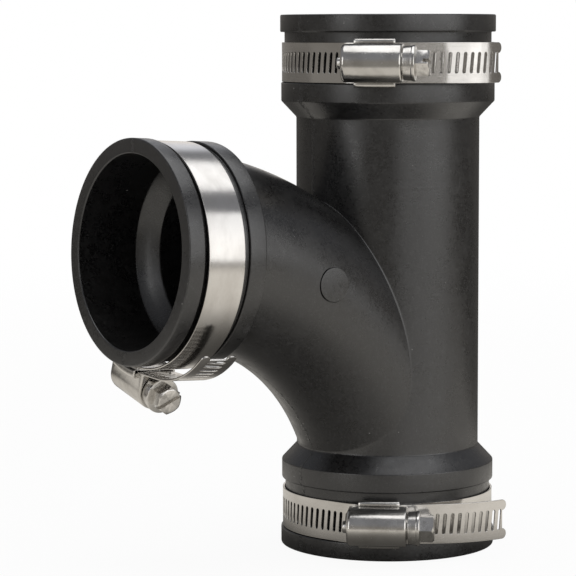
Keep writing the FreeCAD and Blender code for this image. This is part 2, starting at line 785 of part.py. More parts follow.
def make_screw(clamp, name):
    """Tip, worm up to its crests, journal, flange and slotted hexagon head, along the X axis."""
    body = new_body(name)
    front = size("housing_front")
    back = size("housing_back")
    tip = -(back + size("tip_stand"))
    worm_back = -(back - size("sheet_thickness") - size("end_gap"))
    worm_front = front - size("sheet_thickness") - size("end_gap")
    flange = front + size("end_gap")
    head = flange + size("flange_thickness")
    rim = head - size("flange_rim")
    end = head + size("hex_length")
    bevel = size("tip_radius") / 4
    lead = size("thread_radius") - size("root_radius")
    sketch = new_sketch(body, "screw_outline", "XY_Plane")
    corners = [
        (tip, NONE),
        (tip, size("tip_radius") - bevel),
        (tip + bevel, size("tip_radius")),
        (worm_back, size("tip_radius")),
        (worm_back, size("root_radius")),
        (worm_back + lead, size("thread_radius")),
        (worm_front - lead, size("thread_radius")),
        (worm_front, size("root_radius")),
        (worm_front, size("journal_radius")),
        (flange, size("journal_radius")),
        (flange, size("flange_root_radius")),
        (rim - (size("flange_radius") - size("flange_root_radius")), size("flange_root_radius")),
        (rim, size("flange_radius")),
        (head, size("flange_radius")),
        (head, NONE),
    ]
    add_polygon(sketch, corners)
    revolve(body, "screw_stem", sketch, "H_Axis")

    hexagon = new_sketch(body, "head_outline", "YZ_Plane")
    corner = size("hex_width") / 2 / cosine(Size.of(180 / HEX_SIDES))
    turns = [Size.of(360 / HEX_SIDES * number) for number in range(HEX_SIDES)]
    add_polygon(hexagon, [(corner * cosine(t), corner * sine(t)) for t in turns])
    offset_sketch(hexagon, head)
    pad(body, "head", hexagon, size("hex_length"))

    bevels = new_sketch(body, "head_bevel_outline", "XY_Plane")
    flat = size("hex_width") / 2
    outer = corner + flat / 8
    add_polygon(bevels, [(end - (outer - flat) / 2, outer), (end, flat), (end, outer)])
    revolve(body, "head_bevel", bevels, "H_Axis", cut=True)

    drive = new_sketch(body, "drive_outline", "YZ_Plane")
    turned = clamp.own("drive_angle")
    reach = size("flange_radius")
    half_drive = size("drive_width") / 2
    corners = [(-reach, -half_drive), (reach, -half_drive), (reach, half_drive), (-reach, half_drive)]
    add_polygon(
        drive,
        [
            (along * cosine(turned) - across * sine(turned), along * sine(turned) + across * cosine(turned))
            for along, across in corners
        ],
    )
    offset_sketch(drive, end)
    pocket(body, "drive_slot", drive, size("drive_depth"))
    return body


CLAMP_PIECES = {
    "band": make_band,
    "saddle": make_saddle,
    "screw_housing": make_housing,
    "worm_screw": make_screw,
}


def clamp_frame(middle, axis, outward):
    """The placement of a clamp: ring middle, ring axis and the way its housing points."""
    return FreeCAD.Placement(middle, FreeCAD.Rotation(outward.cross(axis), outward, axis, "ZXY"))


def run_clamp_frame(height, turn):
    angle = math.radians(turn.value)
    outward = FreeCAD.Vector(math.cos(angle), math.sin(angle), 0)
    return clamp_frame(Z * height.value, -Z, outward)


def branch_clamp_frame():
    """The loose clamp hangs from the top of its groove."""
    tilt = math.radians(size("branch_tilt_angle").value)
    turn = math.radians(size("branch_clamp_angle").value)
    branch = FreeCAD.Vector(math.cos(tilt), 0, math.sin(tilt))
    down = FreeCAD.Vector(math.sin(tilt), 0, -math.cos(tilt))
    outward = down * math.cos(turn) - Y * math.sin(turn)
    edge = size("branch_reach") - size("lip_height") - size("branch_rest_gap")
    along = (edge - size("band_width") / 2).value
    middle = Z * size("branch_height").value + branch * along
    hung = middle + down * size("branch_ring_slack").value
    return clamp_frame(hung, -branch, outward)


def make_clamp(clamp, frame):
    """The four pieces of one clamp, set on its collar."""
    made = []
    for piece, make in CLAMP_PIECES.items():
        item = make(clamp, f"{clamp.prefix}_clamp_{piece}")
        lift = Y * clamp.screw_height().value if piece == "worm_screw" else FreeCAD.Vector()
        item.Placement = frame.multiply(FreeCAD.Placement(lift, FreeCAD.Rotation()))
        made.append(item)
    return made


def make_all():
    half_band = size("band_width") / 2
    upper_shoulder = size("overall_height") - size("lip_height") - size("groove_width")
    upper = upper_shoulder + size("rest_gap") + half_band
    lower = size("lip_height") + size("rest_gap") + half_band
    pieces = [make_tee_body()]
    pieces += make_clamp(Clamp("upper"), run_clamp_frame(upper, size("upper_clamp_angle")))
    pieces += make_clamp(Clamp("lower"), run_clamp_frame(lower, size("lower_clamp_angle")))
    pieces += make_clamp(Clamp("branch"), branch_clamp_frame())
    return pieces


def check(pieces):
    """Stops before anything is written if an object failed or a shape is wrong."""
    for item in doc.Objects:
        if "Invalid" in item.State or "Error" in item.State:
            raise RuntimeError(f"{item.Label} failed: {item.State}")
    for piece in pieces:
        shape = piece.Shape
        if shape.isNull() or not shape.isValid() or len(shape.Solids) != 1:
            raise RuntimeError(f"{piece.Label} is not one valid solid")


pieces = make_all()
doc.recompute()
check(pieces)
os.makedirs("parts", exist_ok=True)
for piece in pieces:
    piece.Shape.exportStep(f"parts/{piece.Label}.step")
    print(f"{piece.Label}: {piece.Shape.Volume:.0f} mm3")
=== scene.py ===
"""Looks of a flexible rubber tee with a worm-drive clamp in the groove of each socket.

Sizes are in millimetres and meshes are scaled to metres as they are made. Each clamp is built
in its own frame, with the ring's axis along Z, the screw housing over +Y and the screw's head
towards +X, and is then carried to its collar.
"""

import logging
import math
from collections import Counter
from contextlib import contextmanager
from dataclasses import dataclass, field
from enum import Enum
from typing import Callable, Iterable, Iterator, Optional, Sequence, Union

import bmesh
import bpy
from bpy.types import Material, Node, NodeSocket, Object, World
from mathutils import Matrix, Vector


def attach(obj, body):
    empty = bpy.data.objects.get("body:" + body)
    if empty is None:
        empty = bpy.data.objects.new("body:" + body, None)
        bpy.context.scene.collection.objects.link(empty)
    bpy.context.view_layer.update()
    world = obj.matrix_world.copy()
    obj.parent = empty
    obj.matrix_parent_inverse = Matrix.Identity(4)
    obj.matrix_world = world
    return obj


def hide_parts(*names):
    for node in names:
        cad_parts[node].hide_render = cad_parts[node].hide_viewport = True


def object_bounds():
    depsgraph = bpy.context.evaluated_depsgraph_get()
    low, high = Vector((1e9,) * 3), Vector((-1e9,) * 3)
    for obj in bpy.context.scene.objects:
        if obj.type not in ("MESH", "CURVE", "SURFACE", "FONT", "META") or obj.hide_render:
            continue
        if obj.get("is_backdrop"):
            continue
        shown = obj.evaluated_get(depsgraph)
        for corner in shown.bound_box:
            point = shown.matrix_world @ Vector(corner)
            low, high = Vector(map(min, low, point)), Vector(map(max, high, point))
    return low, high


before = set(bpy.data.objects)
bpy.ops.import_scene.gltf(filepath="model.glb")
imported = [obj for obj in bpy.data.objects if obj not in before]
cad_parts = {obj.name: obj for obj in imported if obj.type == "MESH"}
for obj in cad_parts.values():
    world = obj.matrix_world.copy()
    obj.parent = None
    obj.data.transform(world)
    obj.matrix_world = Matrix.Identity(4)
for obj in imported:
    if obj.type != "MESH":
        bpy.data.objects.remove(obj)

LOG = logging.getLogger("rubber_tee")
CAD_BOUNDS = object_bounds()
MM = 0.001
MARK = "along_across"

Point2 = tuple[float, float]
Face = tuple[int, ...]
Colour = tuple[float, float, float]
Operand = Union["Number", float]
WHITE: Colour = (1.0, 1.0, 1.0)
UNSTRETCHED = (1.0, 1.0, 1.0)


class Cut(Enum):
    """How one solid works on another."""

    JOIN = "UNION"
    REMOVE = "DIFFERENCE"
    OVERLAP = "INTERSECT"


class Collar(Enum):
    """The three places that a clamp sits."""

    UPPER = "upper_clamp"
    LOWER = "lower_clamp"
    BRANCH = "branch_clamp"


# Shader maths


@dataclass(frozen=True)
class Grain:
    """A noise: features per metre, octaves, strength of the finer ones, and factors on the place."""

    scale: float
    detail: float
    rough: float
    by: Colour = UNSTRETCHED


@dataclass(frozen=True)
class Specks:
    """Round specks: cells per metre, and the largest speck as a share of a cell."""

    scale: float
    radius: float


def math_method(operation: str, reflected: bool = False) -> Callable[..., "Number"]:
    """Makes a method of Number that adds one Math node.

    Args:
        operation: The Math node's operation.
        reflected: Whether the number itself comes last.

    Returns:
        The method.
    """

    def method(number: "Number", *others: Operand) -> "Number":
        """Returns the operation's result."""
        values = (*others, number) if reflected else (number, *others)
        node = number.bench.add("ShaderNodeMath", {"operation": operation}, dict(enumerate(values)))
        return Number(number.bench, node.outputs[0])

    return method


class Number:
    """A value that varies over a surface, with arithmetic that adds Math nodes."""

    def __init__(self, bench: "Bench", socket: NodeSocket) -> None:
        """Wraps one output socket of a bench's node."""
        self.bench = bench
        self.socket = socket

    __add__ = math_method("ADD")
    __radd__ = math_method("ADD", reflected=True)
    __sub__ = math_method("SUBTRACT")
    __rsub__ = math_method("SUBTRACT", reflected=True)
    __mul__ = math_method("MULTIPLY")
    __rmul__ = math_method("MULTIPLY", reflected=True)
    __pow__ = math_method("POWER")
    __rpow__ = math_method("POWER", reflected=True)
    __abs__ = math_method("ABSOLUTE")
    at_most = math_method("MINIMUM")

    def ramp(self, low: float, high: float) -> "Number":
        """Rises from 0 at low to 1 at high, with soft ends.

        Args:
            low: Where the ramp starts.
            high: Where it is full; below low for a falling ramp.

        Returns:
            The ramp's value.
        """
        values = {"Value": self, "From Min": min(low, high), "From Max": max(low, high)}
        node = self.bench.add("ShaderNodeMapRange", {"interpolation_type": "SMOOTHSTEP"}, values)
        result = Number(self.bench, node.outputs[0])
        return 1.0 - result if low > high else result


class Bench:
    """The nodes of one material or world."""

    glow_kind = "ShaderNodeBackground"

    def __init__(self, owner: Union[Material, World]) -> None:
        """Starts with no nodes.

        Args:
            owner: The material or world.
        """
        owner.use_nodes = True
        self.tree = owner.node_tree
        self.tree.nodes.clear()

    def add(self, kind: str, settings: dict, sockets: dict) -> Node:
        """Adds a node, then its settings, then its inputs.

        Args:
            kind: The node's type.
            settings: Attributes such as an operation.
            sockets: Input names or indexes, with a value, a Number or an output socket.

        Returns:
            The node.
        """
        node = self.tree.nodes.new(kind)
        for key, value in settings.items():
            setattr(node, key, value)
        for key, value in sockets.items():
            self.feed(node, key, value)
        return node

    def feed(self, node: Node, key: Union[str, int], value: object) -> None:
        """Sets or links one input.

        Args:
            node: The node.
            key: The input's name or index.
            value: A plain value, a Number or an output socket.
        """
        target = node.inputs[key]
        if isinstance(value, Number):
            value = value.socket
        if isinstance(value, NodeSocket):
            self.tree.links.new(value, target)
        elif isinstance(value, tuple) and len(value) == 3 and target.type == "RGBA":
            target.default_value = (*value, 1.0)
        else:
            target.default_value = value

    def place(self) -> NodeSocket:
        """Returns the point on the object, in metres."""
        return self.add("ShaderNodeTexCoord", {}, {}).outputs["Object"]

    def vector_node(self, operation: str, *vectors: object) -> Node:
        """Adds a Vector Math node."""
        return self.add("ShaderNodeVectorMath", {"operation": operation}, dict(enumerate(vectors)))

    def toward(self, vector: NodeSocket, way: Vector) -> Number:
        """Returns a vector's reach along a fixed direction."""
        return Number(self, self.vector_node("DOT_PRODUCT", vector, tuple(way)).outputs["Value"])

    def reach(self, vector: NodeSocket) -> Number:
        """Returns a vector's length."""
        return Number(self, self.vector_node("LENGTH", vector).outputs["Value"])

    def rays(self, *kinds: str) -> Number:
        """Tells kinds of ray apart.

        Args:
            kinds: Outputs of the Light Path node.

        Returns:
            1 for rays of any of the kinds, else 0.
        """
        path = self.add("ShaderNodeLightPath", {}, {})
        total = Number(self, path.outputs[kinds[0]])
        for kind in kinds[1:]:
            total = total + Number(self, path.outputs[kind])
        return total.at_most(1.0)

    def glow(self, level: float, colour: Colour = WHITE) -> Node:
        """Adds an even background or emission."""
        return self.add(self.glow_kind, {}, {"Color": colour, "Strength": level})

    def mix_shaders(self, share: Number, first: Node, second: Node) -> Node:
        """Returns a node that mixes two shader nodes."""
        return self.add("ShaderNodeMixShader", {}, {0: share, 1: first.outputs[0], 2: second.outputs[0]})

    def mark(self) -> NodeSocket:
        """Returns the vector stored on the mesh's points."""
        settings = {"attribute_name": MARK, "attribute_type": "GEOMETRY"}
        return self.add("ShaderNodeAttribute", settings, {}).outputs["Vector"]

    def split(self, vector: NodeSocket) -> tuple[Number, Number, Number]:
        """Returns a vector's three numbers."""
        node = self.add("ShaderNodeSeparateXYZ", {}, {0: vector})
        return tuple(Number(self, output) for output in node.outputs)

    def stretch(self, vector: NodeSocket, by: Colour) -> NodeSocket:
        """Returns a vector times fixed factors."""
        return self.vector_node("MULTIPLY", vector, by).outputs[0]

    def noise(self, vector: NodeSocket, grain: Grain) -> Number:
        """Adds a noise texture.

        Args:
            vector: Where it is sampled.
            grain: What it is like.

        Returns:
            The noise, about 0.5 on average.
        """
        if grain.by != UNSTRETCHED:
            vector = self.stretch(vector, grain.by)
        sockets = {"Vector": vector, "Scale": grain.scale, "Detail": grain.detail, "Roughness": grain.rough}
        return Number(self, self.add("ShaderNodeTexNoise", {}, sockets).outputs[0])

    def specks(self, vector: NodeSocket, kind: Specks) -> Number:
        """Adds scattered round specks of uneven size.

        Args:
            vector: Where they are sampled.
            kind: What they are like.

        Returns:
            1 on a speck, 0 off it.
        """
        cells = self.add("ShaderNodeTexVoronoi", {}, {"Vector": vector, "Scale": kind.scale})
        distance = Number(self, cells.outputs["Distance"])
        chance = self.split(cells.outputs["Color"])[0]
        return (kind.radius * chance**3.0 - distance).ramp(0.0, kind.radius * 0.4)

    def blend(self, share: Operand, first: object, second: object) -> NodeSocket:
        """Mixes two colours.

        Args:
            share: How much of the second shows.
            first: A colour or an output socket.
            second: A colour or an output socket.

        Returns:
            The mixed colour.
        """
        node = self.add("ShaderNodeMix", {"data_type": "RGBA"}, {0: share})
        keys = (key for key, socket in enumerate(node.inputs) if socket.type == "RGBA")
        for key, value in zip(keys, (first, second)):
            self.feed(node, key, value)
        return next(socket for socket in node.outputs if socket.type == "RGBA")


class Coat(Bench):
    """The nodes of a material with one Principled shader."""

    glow_kind = "ShaderNodeEmission"

    def __init__(self, name: str) -> None:
        """Starts the material.

        Args:
            name: The material's name.
        """
        self.material = bpy.data.materials.new(name)
        super().__init__(self.material)
        self.shader = self.add("ShaderNodeBsdfPrincipled", {}, {})
        self.output = self.add("ShaderNodeOutputMaterial", {}, {"Surface": self.shader.outputs[0]})

    def relief(self, height: Number, depth: float) -> None:
        """Feeds the shader's normal with a bump.

        Args:
            height: The relief, from 0 to 1.
            depth: How deep a full step is, in metres.
        """
        sockets = {"Height": height, "Distance": depth, "Strength": 1.0}
        bump = self.add("ShaderNodeBump", {}, sockets)
        self.feed(self.shader, "Normal", bump.outputs[0])

    def finish(self, colour: object, roughness: Operand, **fixed: float) -> Material:
        """Feeds the shader and returns the material.

        Args:
            colour: A colour or an output socket.
            roughness: The shader's roughness.
            fixed: Other inputs by name, with underscores for spaces.

        Returns:
            The material.
        """
        self.feed(self.shader, "Base Color", colour)
        self.feed(self.shader, "Roughness", roughness)
        for name, value in fixed.items():
            self.feed(self.shader, name.replace("_", " "), value)
        return self.material


# Finishes


@dataclass(frozen=True)
class MouldedRubber:
    """Black rubber as it leaves the mould: fine matt grain, flow shades, dust and parting lines."""

    name: str = "moulded_rubber"
    dark: Colour = (0.0036, 0.0034, 0.0035)
    light: Colour = (0.0076, 0.0073, 0.0075)
    bloom: Colour = (0.078, 0.076, 0.074)
    lint: Colour = (0.26, 0.25, 0.24)
    sheen_roughness: float = 0.32
    grain_depth: float = 0.00004
    witness_height: float = 0.1185
    flow_grain: Grain = Grain(34.0, 4.0, 0.6, (1.0, 1.0, 0.35))
    cloud_grain: Grain = Grain(90.0, 3.0, 0.6)
    mottle_grain: Grain = Grain(310.0, 3.0, 0.65)
    fine_grain: Grain = Grain(2100.0, 2.0, 0.5)
    peel_grain: Grain = Grain(480.0, 2.0, 0.5)
    pit_grain: Grain = Grain(1250.0, 3.0, 0.65)
    flash_grain: Grain = Grain(800.0, 3.0, 0.6)
    scuff_grain: Grain = Grain(60.0, 5.0, 0.7, (1.0, 1.0, 6.0))
    lint_specks: Specks = Specks(260.0, 0.085)
    dust_specks: Specks = Specks(1150.0, 0.26)

    def material(self) -> Material:
        """Builds the material."""
        coat = Coat(self.name)
        place = coat.place()
        x, y, z = coat.split(place)
        flow = coat.noise(place, self.flow_grain)
        cloud = coat.noise(place, self.cloud_grain)
        mottle = coat.noise(place, self.mottle_grain)
        grain = coat.noise(place, self.fine_grain)
        orange_peel = coat.noise(place, self.peel_grain)
        lint = coat.specks(place, self.lint_specks)
        dust = coat.specks(place, self.dust_specks) * cloud.ramp(0.38, 0.60)
        pits = coat.noise(place, self.pit_grain)
        flash = abs(y).ramp(0.0013, 0.0003) * coat.noise(place, self.flash_grain).ramp(0.50, 0.60)
        scuffs = coat.noise(place, self.scuff_grain).ramp(0.60, 0.80)
        parting = abs(y).ramp(0.00035, 0.0001)
        witness = abs(z - self.witness_height).ramp(0.0006, 0.00012) * x.ramp(0.034, 0.030)
        shade = coat.blend(flow.ramp(0.35, 0.68), self.dark, self.light)
        dusty = (
            scuffs * 0.11 + mottle.ramp(0.52, 0.72) * 0.05 + dust * 0.50 + pits.ramp(0.50, 0.66) * 0.15
        ).at_most(1.0)
        colour = coat.blend(lint * 0.8, coat.blend(dusty, shade, self.bloom), self.lint)
        roughness = (
            self.sheen_roughness
            + (cloud - 0.5) * 0.22
            + (flow - 0.5) * 0.16
            + (mottle - 0.5) * 0.20
            + (pits - 0.5) * 0.26
            + (lint + dust) * 0.04
            + scuffs * 0.03
            + (grain - 0.5) * 0.12
        )
        height = grain * 0.5 + orange_peel * 0.5 + mottle * 0.4 + pits * 0.25 + lint * 0.3
        height = height + parting * 1.2 + witness * 0.15 + flash * 4.0
        coat.relief(height, self.grain_depth)
        return coat.finish(colour, roughness, Specular_IOR_Level=0.85)


@dataclass(frozen=True)
class CoredRubber:
    """The inside of the moulding, duller and dustier than the outside."""

    name: str = "cored_rubber"
    dark: Colour = (0.0110, 0.0100, 0.0092)
    light: Colour = (0.0200, 0.0185, 0.0175)
    dust: Colour = (0.06, 0.058, 0.055)
    depth: float = 0.00007
    cloud_grain: Grain = Grain(55.0, 4.0, 0.6)
    fine_grain: Grain = Grain(1500.0, 2.0, 0.5)
    dust_specks: Specks = Specks(260.0, 0.12)

    def material(self) -> Material:
        """Builds the material."""
        coat = Coat(self.name)
        place = coat.place()
        cloud = coat.noise(place, self.cloud_grain)
        grain = coat.noise(place, self.fine_grain)
        dust = coat.specks(place, self.dust_specks)
        shade = coat.blend(cloud.ramp(0.35, 0.7), self.dark, self.light)
        colour = coat.blend(dust * 0.4, shade, self.dust)
        coat.relief(grain * 0.5 + cloud * 0.5 + dust * 0.3, self.depth)
        return coat.finish(colour, 0.60 + (cloud - 0.5) * 0.2 + dust * 0.1, Specular_IOR_Level=0.3)


@dataclass(frozen=True)
class RolledStrip:
    """Bright stainless strip with rolling lines along it, faint smears and handling scratches."""

    name: str
    light: Colour = (0.60, 0.585, 0.565)
    dull: Colour = (0.43, 0.41, 0.385)
    sheen_roughness: float = 0.16
    line_depth: float = 0.000012
    line_grain: Grain = Grain(1.0, 3.0, 0.6, (30.0, 5200.0, 1.0))
    fine_grain: Grain = Grain(1.0, 1.0, 0.5, (90.0, 14000.0, 1.0))
    smear_grain: Grain = Grain(1.0, 4.0, 0.6, (60.0, 110.0, 1.0))
    scratch_grain: Grain = Grain(1.0, 5.0, 0.75, (220.0, 1500.0, 1.0))
    pit_specks: Specks = Specks(700.0, 0.10)

    def material(self) -> Material:
        """Builds the material."""
        coat = Coat(self.name)
        mark = coat.mark()
        _, across, _ = coat.split(mark)
        lines = coat.noise(mark, self.line_grain)
        fine = coat.noise(mark, self.fine_grain)
        smear = coat.noise(mark, self.smear_grain)
        pits = coat.specks(mark, self.pit_specks)
        worn = coat.noise(mark, self.scratch_grain).ramp(0.62, 0.78)
        edge = abs(across).ramp(0.0056, 0.0063)
        share = (smear.ramp(0.35, 0.75) * 0.55 + worn * 0.25 + pits * 0.5 + edge * 0.15).at_most(1.0)
        colour = coat.blend(share, self.light, self.dull)
        roughness = (
            self.sheen_roughness
            + (smear - 0.5) * 0.16
            + (lines - 0.5) * 0.08
            + worn * 0.10
            + pits * 0.2
        )
        coat.relief(lines * 0.7 + fine * 0.3 + worn * 0.4 - pits * 0.6, self.line_depth)
        return coat.finish(colour, roughness, Metallic=1.0)


@dataclass(frozen=True)
class PressedSteel:
    """Tumbled stainless pressing: soft gloss, tiny dents and darker patches."""

    name: str
    light: Colour = (0.60, 0.585, 0.56)
    dull: Colour = (0.37, 0.35, 0.32)
    sheen_roughness: float = 0.20
    dent_depth: float = 0.00006
    dent_grain: Grain = Grain(520.0, 3.0, 0.55)
    wave_grain: Grain = Grain(150.0, 2.0, 0.5)
    fine_grain: Grain = Grain(3000.0, 2.0, 0.6)
    worn_grain: Grain = Grain(900.0, 5.0, 0.7)

    def material(self) -> Material:
        """Builds the material."""
        coat = Coat(self.name)
        place = coat.place()
        dents = coat.noise(place, self.dent_grain)
        waves = coat.noise(place, self.wave_grain)
        fine = coat.noise(place, self.fine_grain)
        worn = coat.noise(place, self.worn_grain).ramp(0.58, 0.74)
        share = (waves.ramp(0.40, 0.75) * 0.45 + worn * 0.35).at_most(1.0)
        colour = coat.blend(share, self.light, self.dull)
        roughness = self.sheen_roughness + (dents - 0.5) * 0.22 + worn * 0.12 + (fine - 0.5) * 0.06
        coat.relief(dents * 0.45 + waves * 0.9 + fine * 0.08, self.dent_depth)
        return coat.finish(colour, roughness, Metallic=1.0)


@dataclass(frozen=True)
class TurnedSteel:
    """Plated screw: tool rings round its axis, a dull film and specks of grit."""

    name: str
    light: Colour = (0.63, 0.615, 0.59)
    dull: Colour = (0.33, 0.32, 0.30)
    sheen_roughness: float = 0.22
    ring_depth: float = 0.00002
    ring_grain: Grain = Grain(1.0, 2.0, 0.5, (5200.0, 2600.0, 1.0))
    film_grain: Grain = Grain(420.0, 4.0, 0.6)
    grit_specks: Specks = Specks(2400.0, 0.22)

    def material(self) -> Material:
        """Builds the material."""
        coat = Coat(self.name)
        place = coat.place()
        mark = coat.mark()
        rings = coat.noise(mark, self.ring_grain)
        film = coat.noise(place, self.film_grain)
        grit = coat.specks(place, self.grit_specks)
        share = (film.ramp(0.40, 0.75) * 0.65 + grit * 0.3).at_most(1.0)
        colour = coat.blend(share, self.light, self.dull)
        roughness = self.sheen_roughness + (film - 0.5) * 0.24 + (rings - 0.5) * 0.08 + grit * 0.15
        coat.relief(rings * 0.6 + film * 0.8 - grit * 0.3, self.ring_depth)
        return coat.finish(colour, roughness, Metallic=1.0)


# Mesh helpers


@dataclass
class Mesh:
    """Points in millimetres with faces and a vector stored on each point."""

    points: list[Vector] = field(default_factory=list)
    faces: list[Face] = field(default_factory=list)
    marks: list[Vector] = field(default_factory=list)

    def point(self, place: Vector, mark: Optional[Vector] = None) -> int:
        """Adds a point.

        Args:
            place: Its place in millimetres.
            mark: Its stored vector; the place if left out.

        Returns:
            Its number.
        """
        self.points.append(place)
        self.marks.append(place if mark is None else mark)
        return len(self.points) - 1

    def bridge(self, first: Sequence[int], second: Sequence[int], closed: bool = True) -> None:
        """Joins two rows of points with quads.

        Args:
            first: One row.
            second: The other row, as long.
            closed: Whether the rows are rings.
        """
        count = len(first)
        for number in range(count if closed else count - 1):
            following = (number + 1) % count
            self.faces.append((first[number], first[following], second[following], second[number]))

    def loft(self, rings: Sequence[Sequence[int]]) -> None:
        """Joins rings of points in order and closes both ends.

        Args:
            rings: The rings, all of one length.
        """
        for first, second in zip(rings, rings[1:]):
            self.bridge(first, second)
        self.faces.append(tuple(reversed(rings[0])))
        self.faces.append(tuple(rings[-1]))

    def build(self, name: str, placement: Matrix = Matrix.Identity(4)) -> Object:
        """Makes the object, in metres.

        Args:
            name: The object's name.
            placement: Where its own frame stands, in millimetres.

        Returns:
            The object.
        """
        data = bpy.data.meshes.new(name)
        moved = [tuple((placement @ point) * MM) for point in self.points]
        data.from_pydata(moved, [], self.faces)
        layer = data.attributes.new(MARK, "FLOAT_VECTOR", "POINT")
        layer.data.foreach_set("vector", [value * MM for mark in self.marks for value in mark])
        piece = bpy.data.objects.new(name, data)
        bpy.context.scene.collection.objects.link(piece)
        with opened(data) as copy:
            bmesh.ops.recalc_face_normals(copy, faces=copy.faces)
        return piece


@contextmanager
def opened(data: bpy.types.Mesh) -> Iterator[bmesh.types.BMesh]:
    """Opens a mesh for editing and writes it back.

    Args:
        data: The mesh.

    Yields:
        Its editable copy.
    """
    copy = bmesh.new()
    copy.from_mesh(data)
    yield copy
    copy.to_mesh(data)
    copy.free()


def level_way(angle: float) -> Vector:
    """The level direction at an angle in radians from +X."""
    return Vector((math.cos(angle), math.sin(angle), 0.0))


def around(count: int) -> list[float]:
    """Angles spread evenly round a circle, in radians."""
    return [2 * math.pi * number / count for number in range(count)]


def bent_line(start: Vector, corner: Vector, stop: Vector, steps: int) -> list[Vector]:
    """A line that bends round a corner.

    Args:
        start: Its first point.
        corner: The corner, which it doesn't reach.
        stop: Its last point.
        steps: How many parts it has.

    Returns:
        The points.
    """
    shares = [step / steps for step in range(steps + 1)]
    return [start * (1 - at) ** 2 + corner * (2 * at * (1 - at)) + stop * at**2 for at in shares]


def rounded(corners: Sequence[Point2], radii: Sequence[float], steps: int = 4) -> list[Point2]:
    """Rounds the inner corners of an open outline.

    Args:
        corners: The outline's corners.
        radii: One radius for each corner.
        steps: Points in each round, less one.

    Returns:
        The outline with rounds.
    """
    result = [corners[0]]
    for before, corner, after, radius in zip(corners, corners[1:], corners[2:], radii[1:]):
        here = Vector(corner)
        back = Vector(before) - here
        ahead = Vector(after) - here
        turn = math.pi - back.angle(ahead)
        if radius <= 0 or turn < 0.02:
            result.append(corner)
            continue
        reach = min(radius * math.tan(turn / 2), back.length * 0.49, ahead.length * 0.49)
        start = here + back.normalized() * reach
        stop = here + ahead.normalized() * reach
        result += [tuple(place) for place in bent_line(start, here, stop, steps)]
    result.append(corners[-1])
    return result


def divided(outline: Sequence[Point2], longest: float) -> list[Point2]:
    """Splits an outline's long runs.

    Args:
        outline: The outline.
        longest: The longest run that stays whole.

    Returns:
        The outline with more points.
    """
    result = [outline[0]]
    for start, stop in zip(outline, outline[1:]):
        gap = math.dist(start, stop)
        parts = max(1, math.ceil(gap / longest))
        for part in range(1, parts + 1):
            share = part / parts
            result.append(tuple(a + (b - a) * share for a, b in zip(start, stop)))
    return result


def lathe(
    outline: Sequence[Point2],
    segments: int,
    radius_at: Optional[Callable[[float, float, float], float]] = None,
) -> Mesh:
    """Turns an outline of (radius, height) about Z; an end on the axis closes to a point.

    Args:
        outline: The outline from one end to the other.
        segments: Points round a ring.
        radius_at: Changes a radius, given the radius, height and angle.

    Returns:
        The mesh.
    """
    mesh = Mesh()
    rows: list[list[int]] = []
    for radius, height in outline:
        if radius < 1e-6:
            rows.append([mesh.point(Vector((0, 0, height)), Vector((height, 0, 0)))])
            continue
        row = []
        for angle in around(segments):
            reach = radius_at(radius, height, angle) if radius_at else radius
            place = Vector((reach * math.cos(angle), reach * math.sin(angle), height))
            row.append(mesh.point(place, Vector((height, reach, 0))))
        rows.append(row)
    for first, second in zip(rows, rows[1:]):
        if len(first) == 1 or len(second) == 1:
            tip, ring = (first[0], second) if len(first) == 1 else (second[0], first)
            for number in range(segments):
                mesh.faces.append((tip, ring[number], ring[(number + 1) % segments]))
        else:
            mesh.bridge(first, second)
    return mesh


def rod(radius: float, low: float, high: float, segments: int) -> Mesh:
    """A plain cylinder along Z."""
    return lathe([(0, low), (radius, low), (radius, high), (0, high)], segments)


def prism(outline: Sequence[Point2], low: float, high: float) -> Mesh:
    """Stands a closed outline up along Z.

    Args:
        outline: The corners in order.
        low: The lower end.
        high: The upper end.

    Returns:
        The mesh.
    """
    mesh = Mesh()
    mesh.loft([[mesh.point(Vector((x, y, height))) for x, y in outline] for height in (low, high)])
    return mesh


def apply_all(piece: Object) -> None:
    """Makes a piece's modifiers part of its mesh.

    Args:
        piece: The piece.
    """
    graph = bpy.context.evaluated_depsgraph_get()
    made = bpy.data.meshes.new_from_object(piece.evaluated_get(graph))
    old = piece.data
    piece.modifiers.clear()
    piece.data = made
    bpy.data.meshes.remove(old)


def work(piece: Object, tool: Object, cut: Cut) -> None:
    """Joins, removes or overlaps a tool, which is used up.

    Args:
        piece: The piece that stays.
        tool: The other solid.
        cut: What the tool does.
    """
    step = piece.modifiers.new("work", "BOOLEAN")
    step.operation = cut.value
    step.object = tool
    step.solver = "EXACT"
    apply_all(piece)
    bpy.data.objects.remove(tool)


def soften(piece: Object, width: float, angle: float) -> None:
    """Rounds a piece's sharp edges with two facets.

    Args:
        piece: The piece.
        width: The round's width in millimetres.
        angle: The least angle that counts as sharp, in degrees.
    """
    step = piece.modifiers.new("soften", "BEVEL")
    step.width = width * MM
    step.segments = 2
    step.limit_method = "ANGLE"
    step.angle_limit = math.radians(angle)
    apply_all(piece)


def shade_smooth(piece: Object, angle: float) -> None:
    """Shades a piece smooth, apart from edges sharper than an angle in degrees."""
    piece.data.shade_smooth()
    piece.data.set_sharp_from_angle(angle=math.radians(angle))


def finished(piece: Object, material: Material, angle: float) -> Object:
    """Gives a piece its one material and its shading.

    Args:
        piece: The piece.
        material: The material.
        angle: The least angle that stays sharp, in degrees.

    Returns:
        The piece.
    """
    shade_smooth(piece, angle)
    piece.data.materials.clear()
    piece.data.materials.append(material)
    return piece


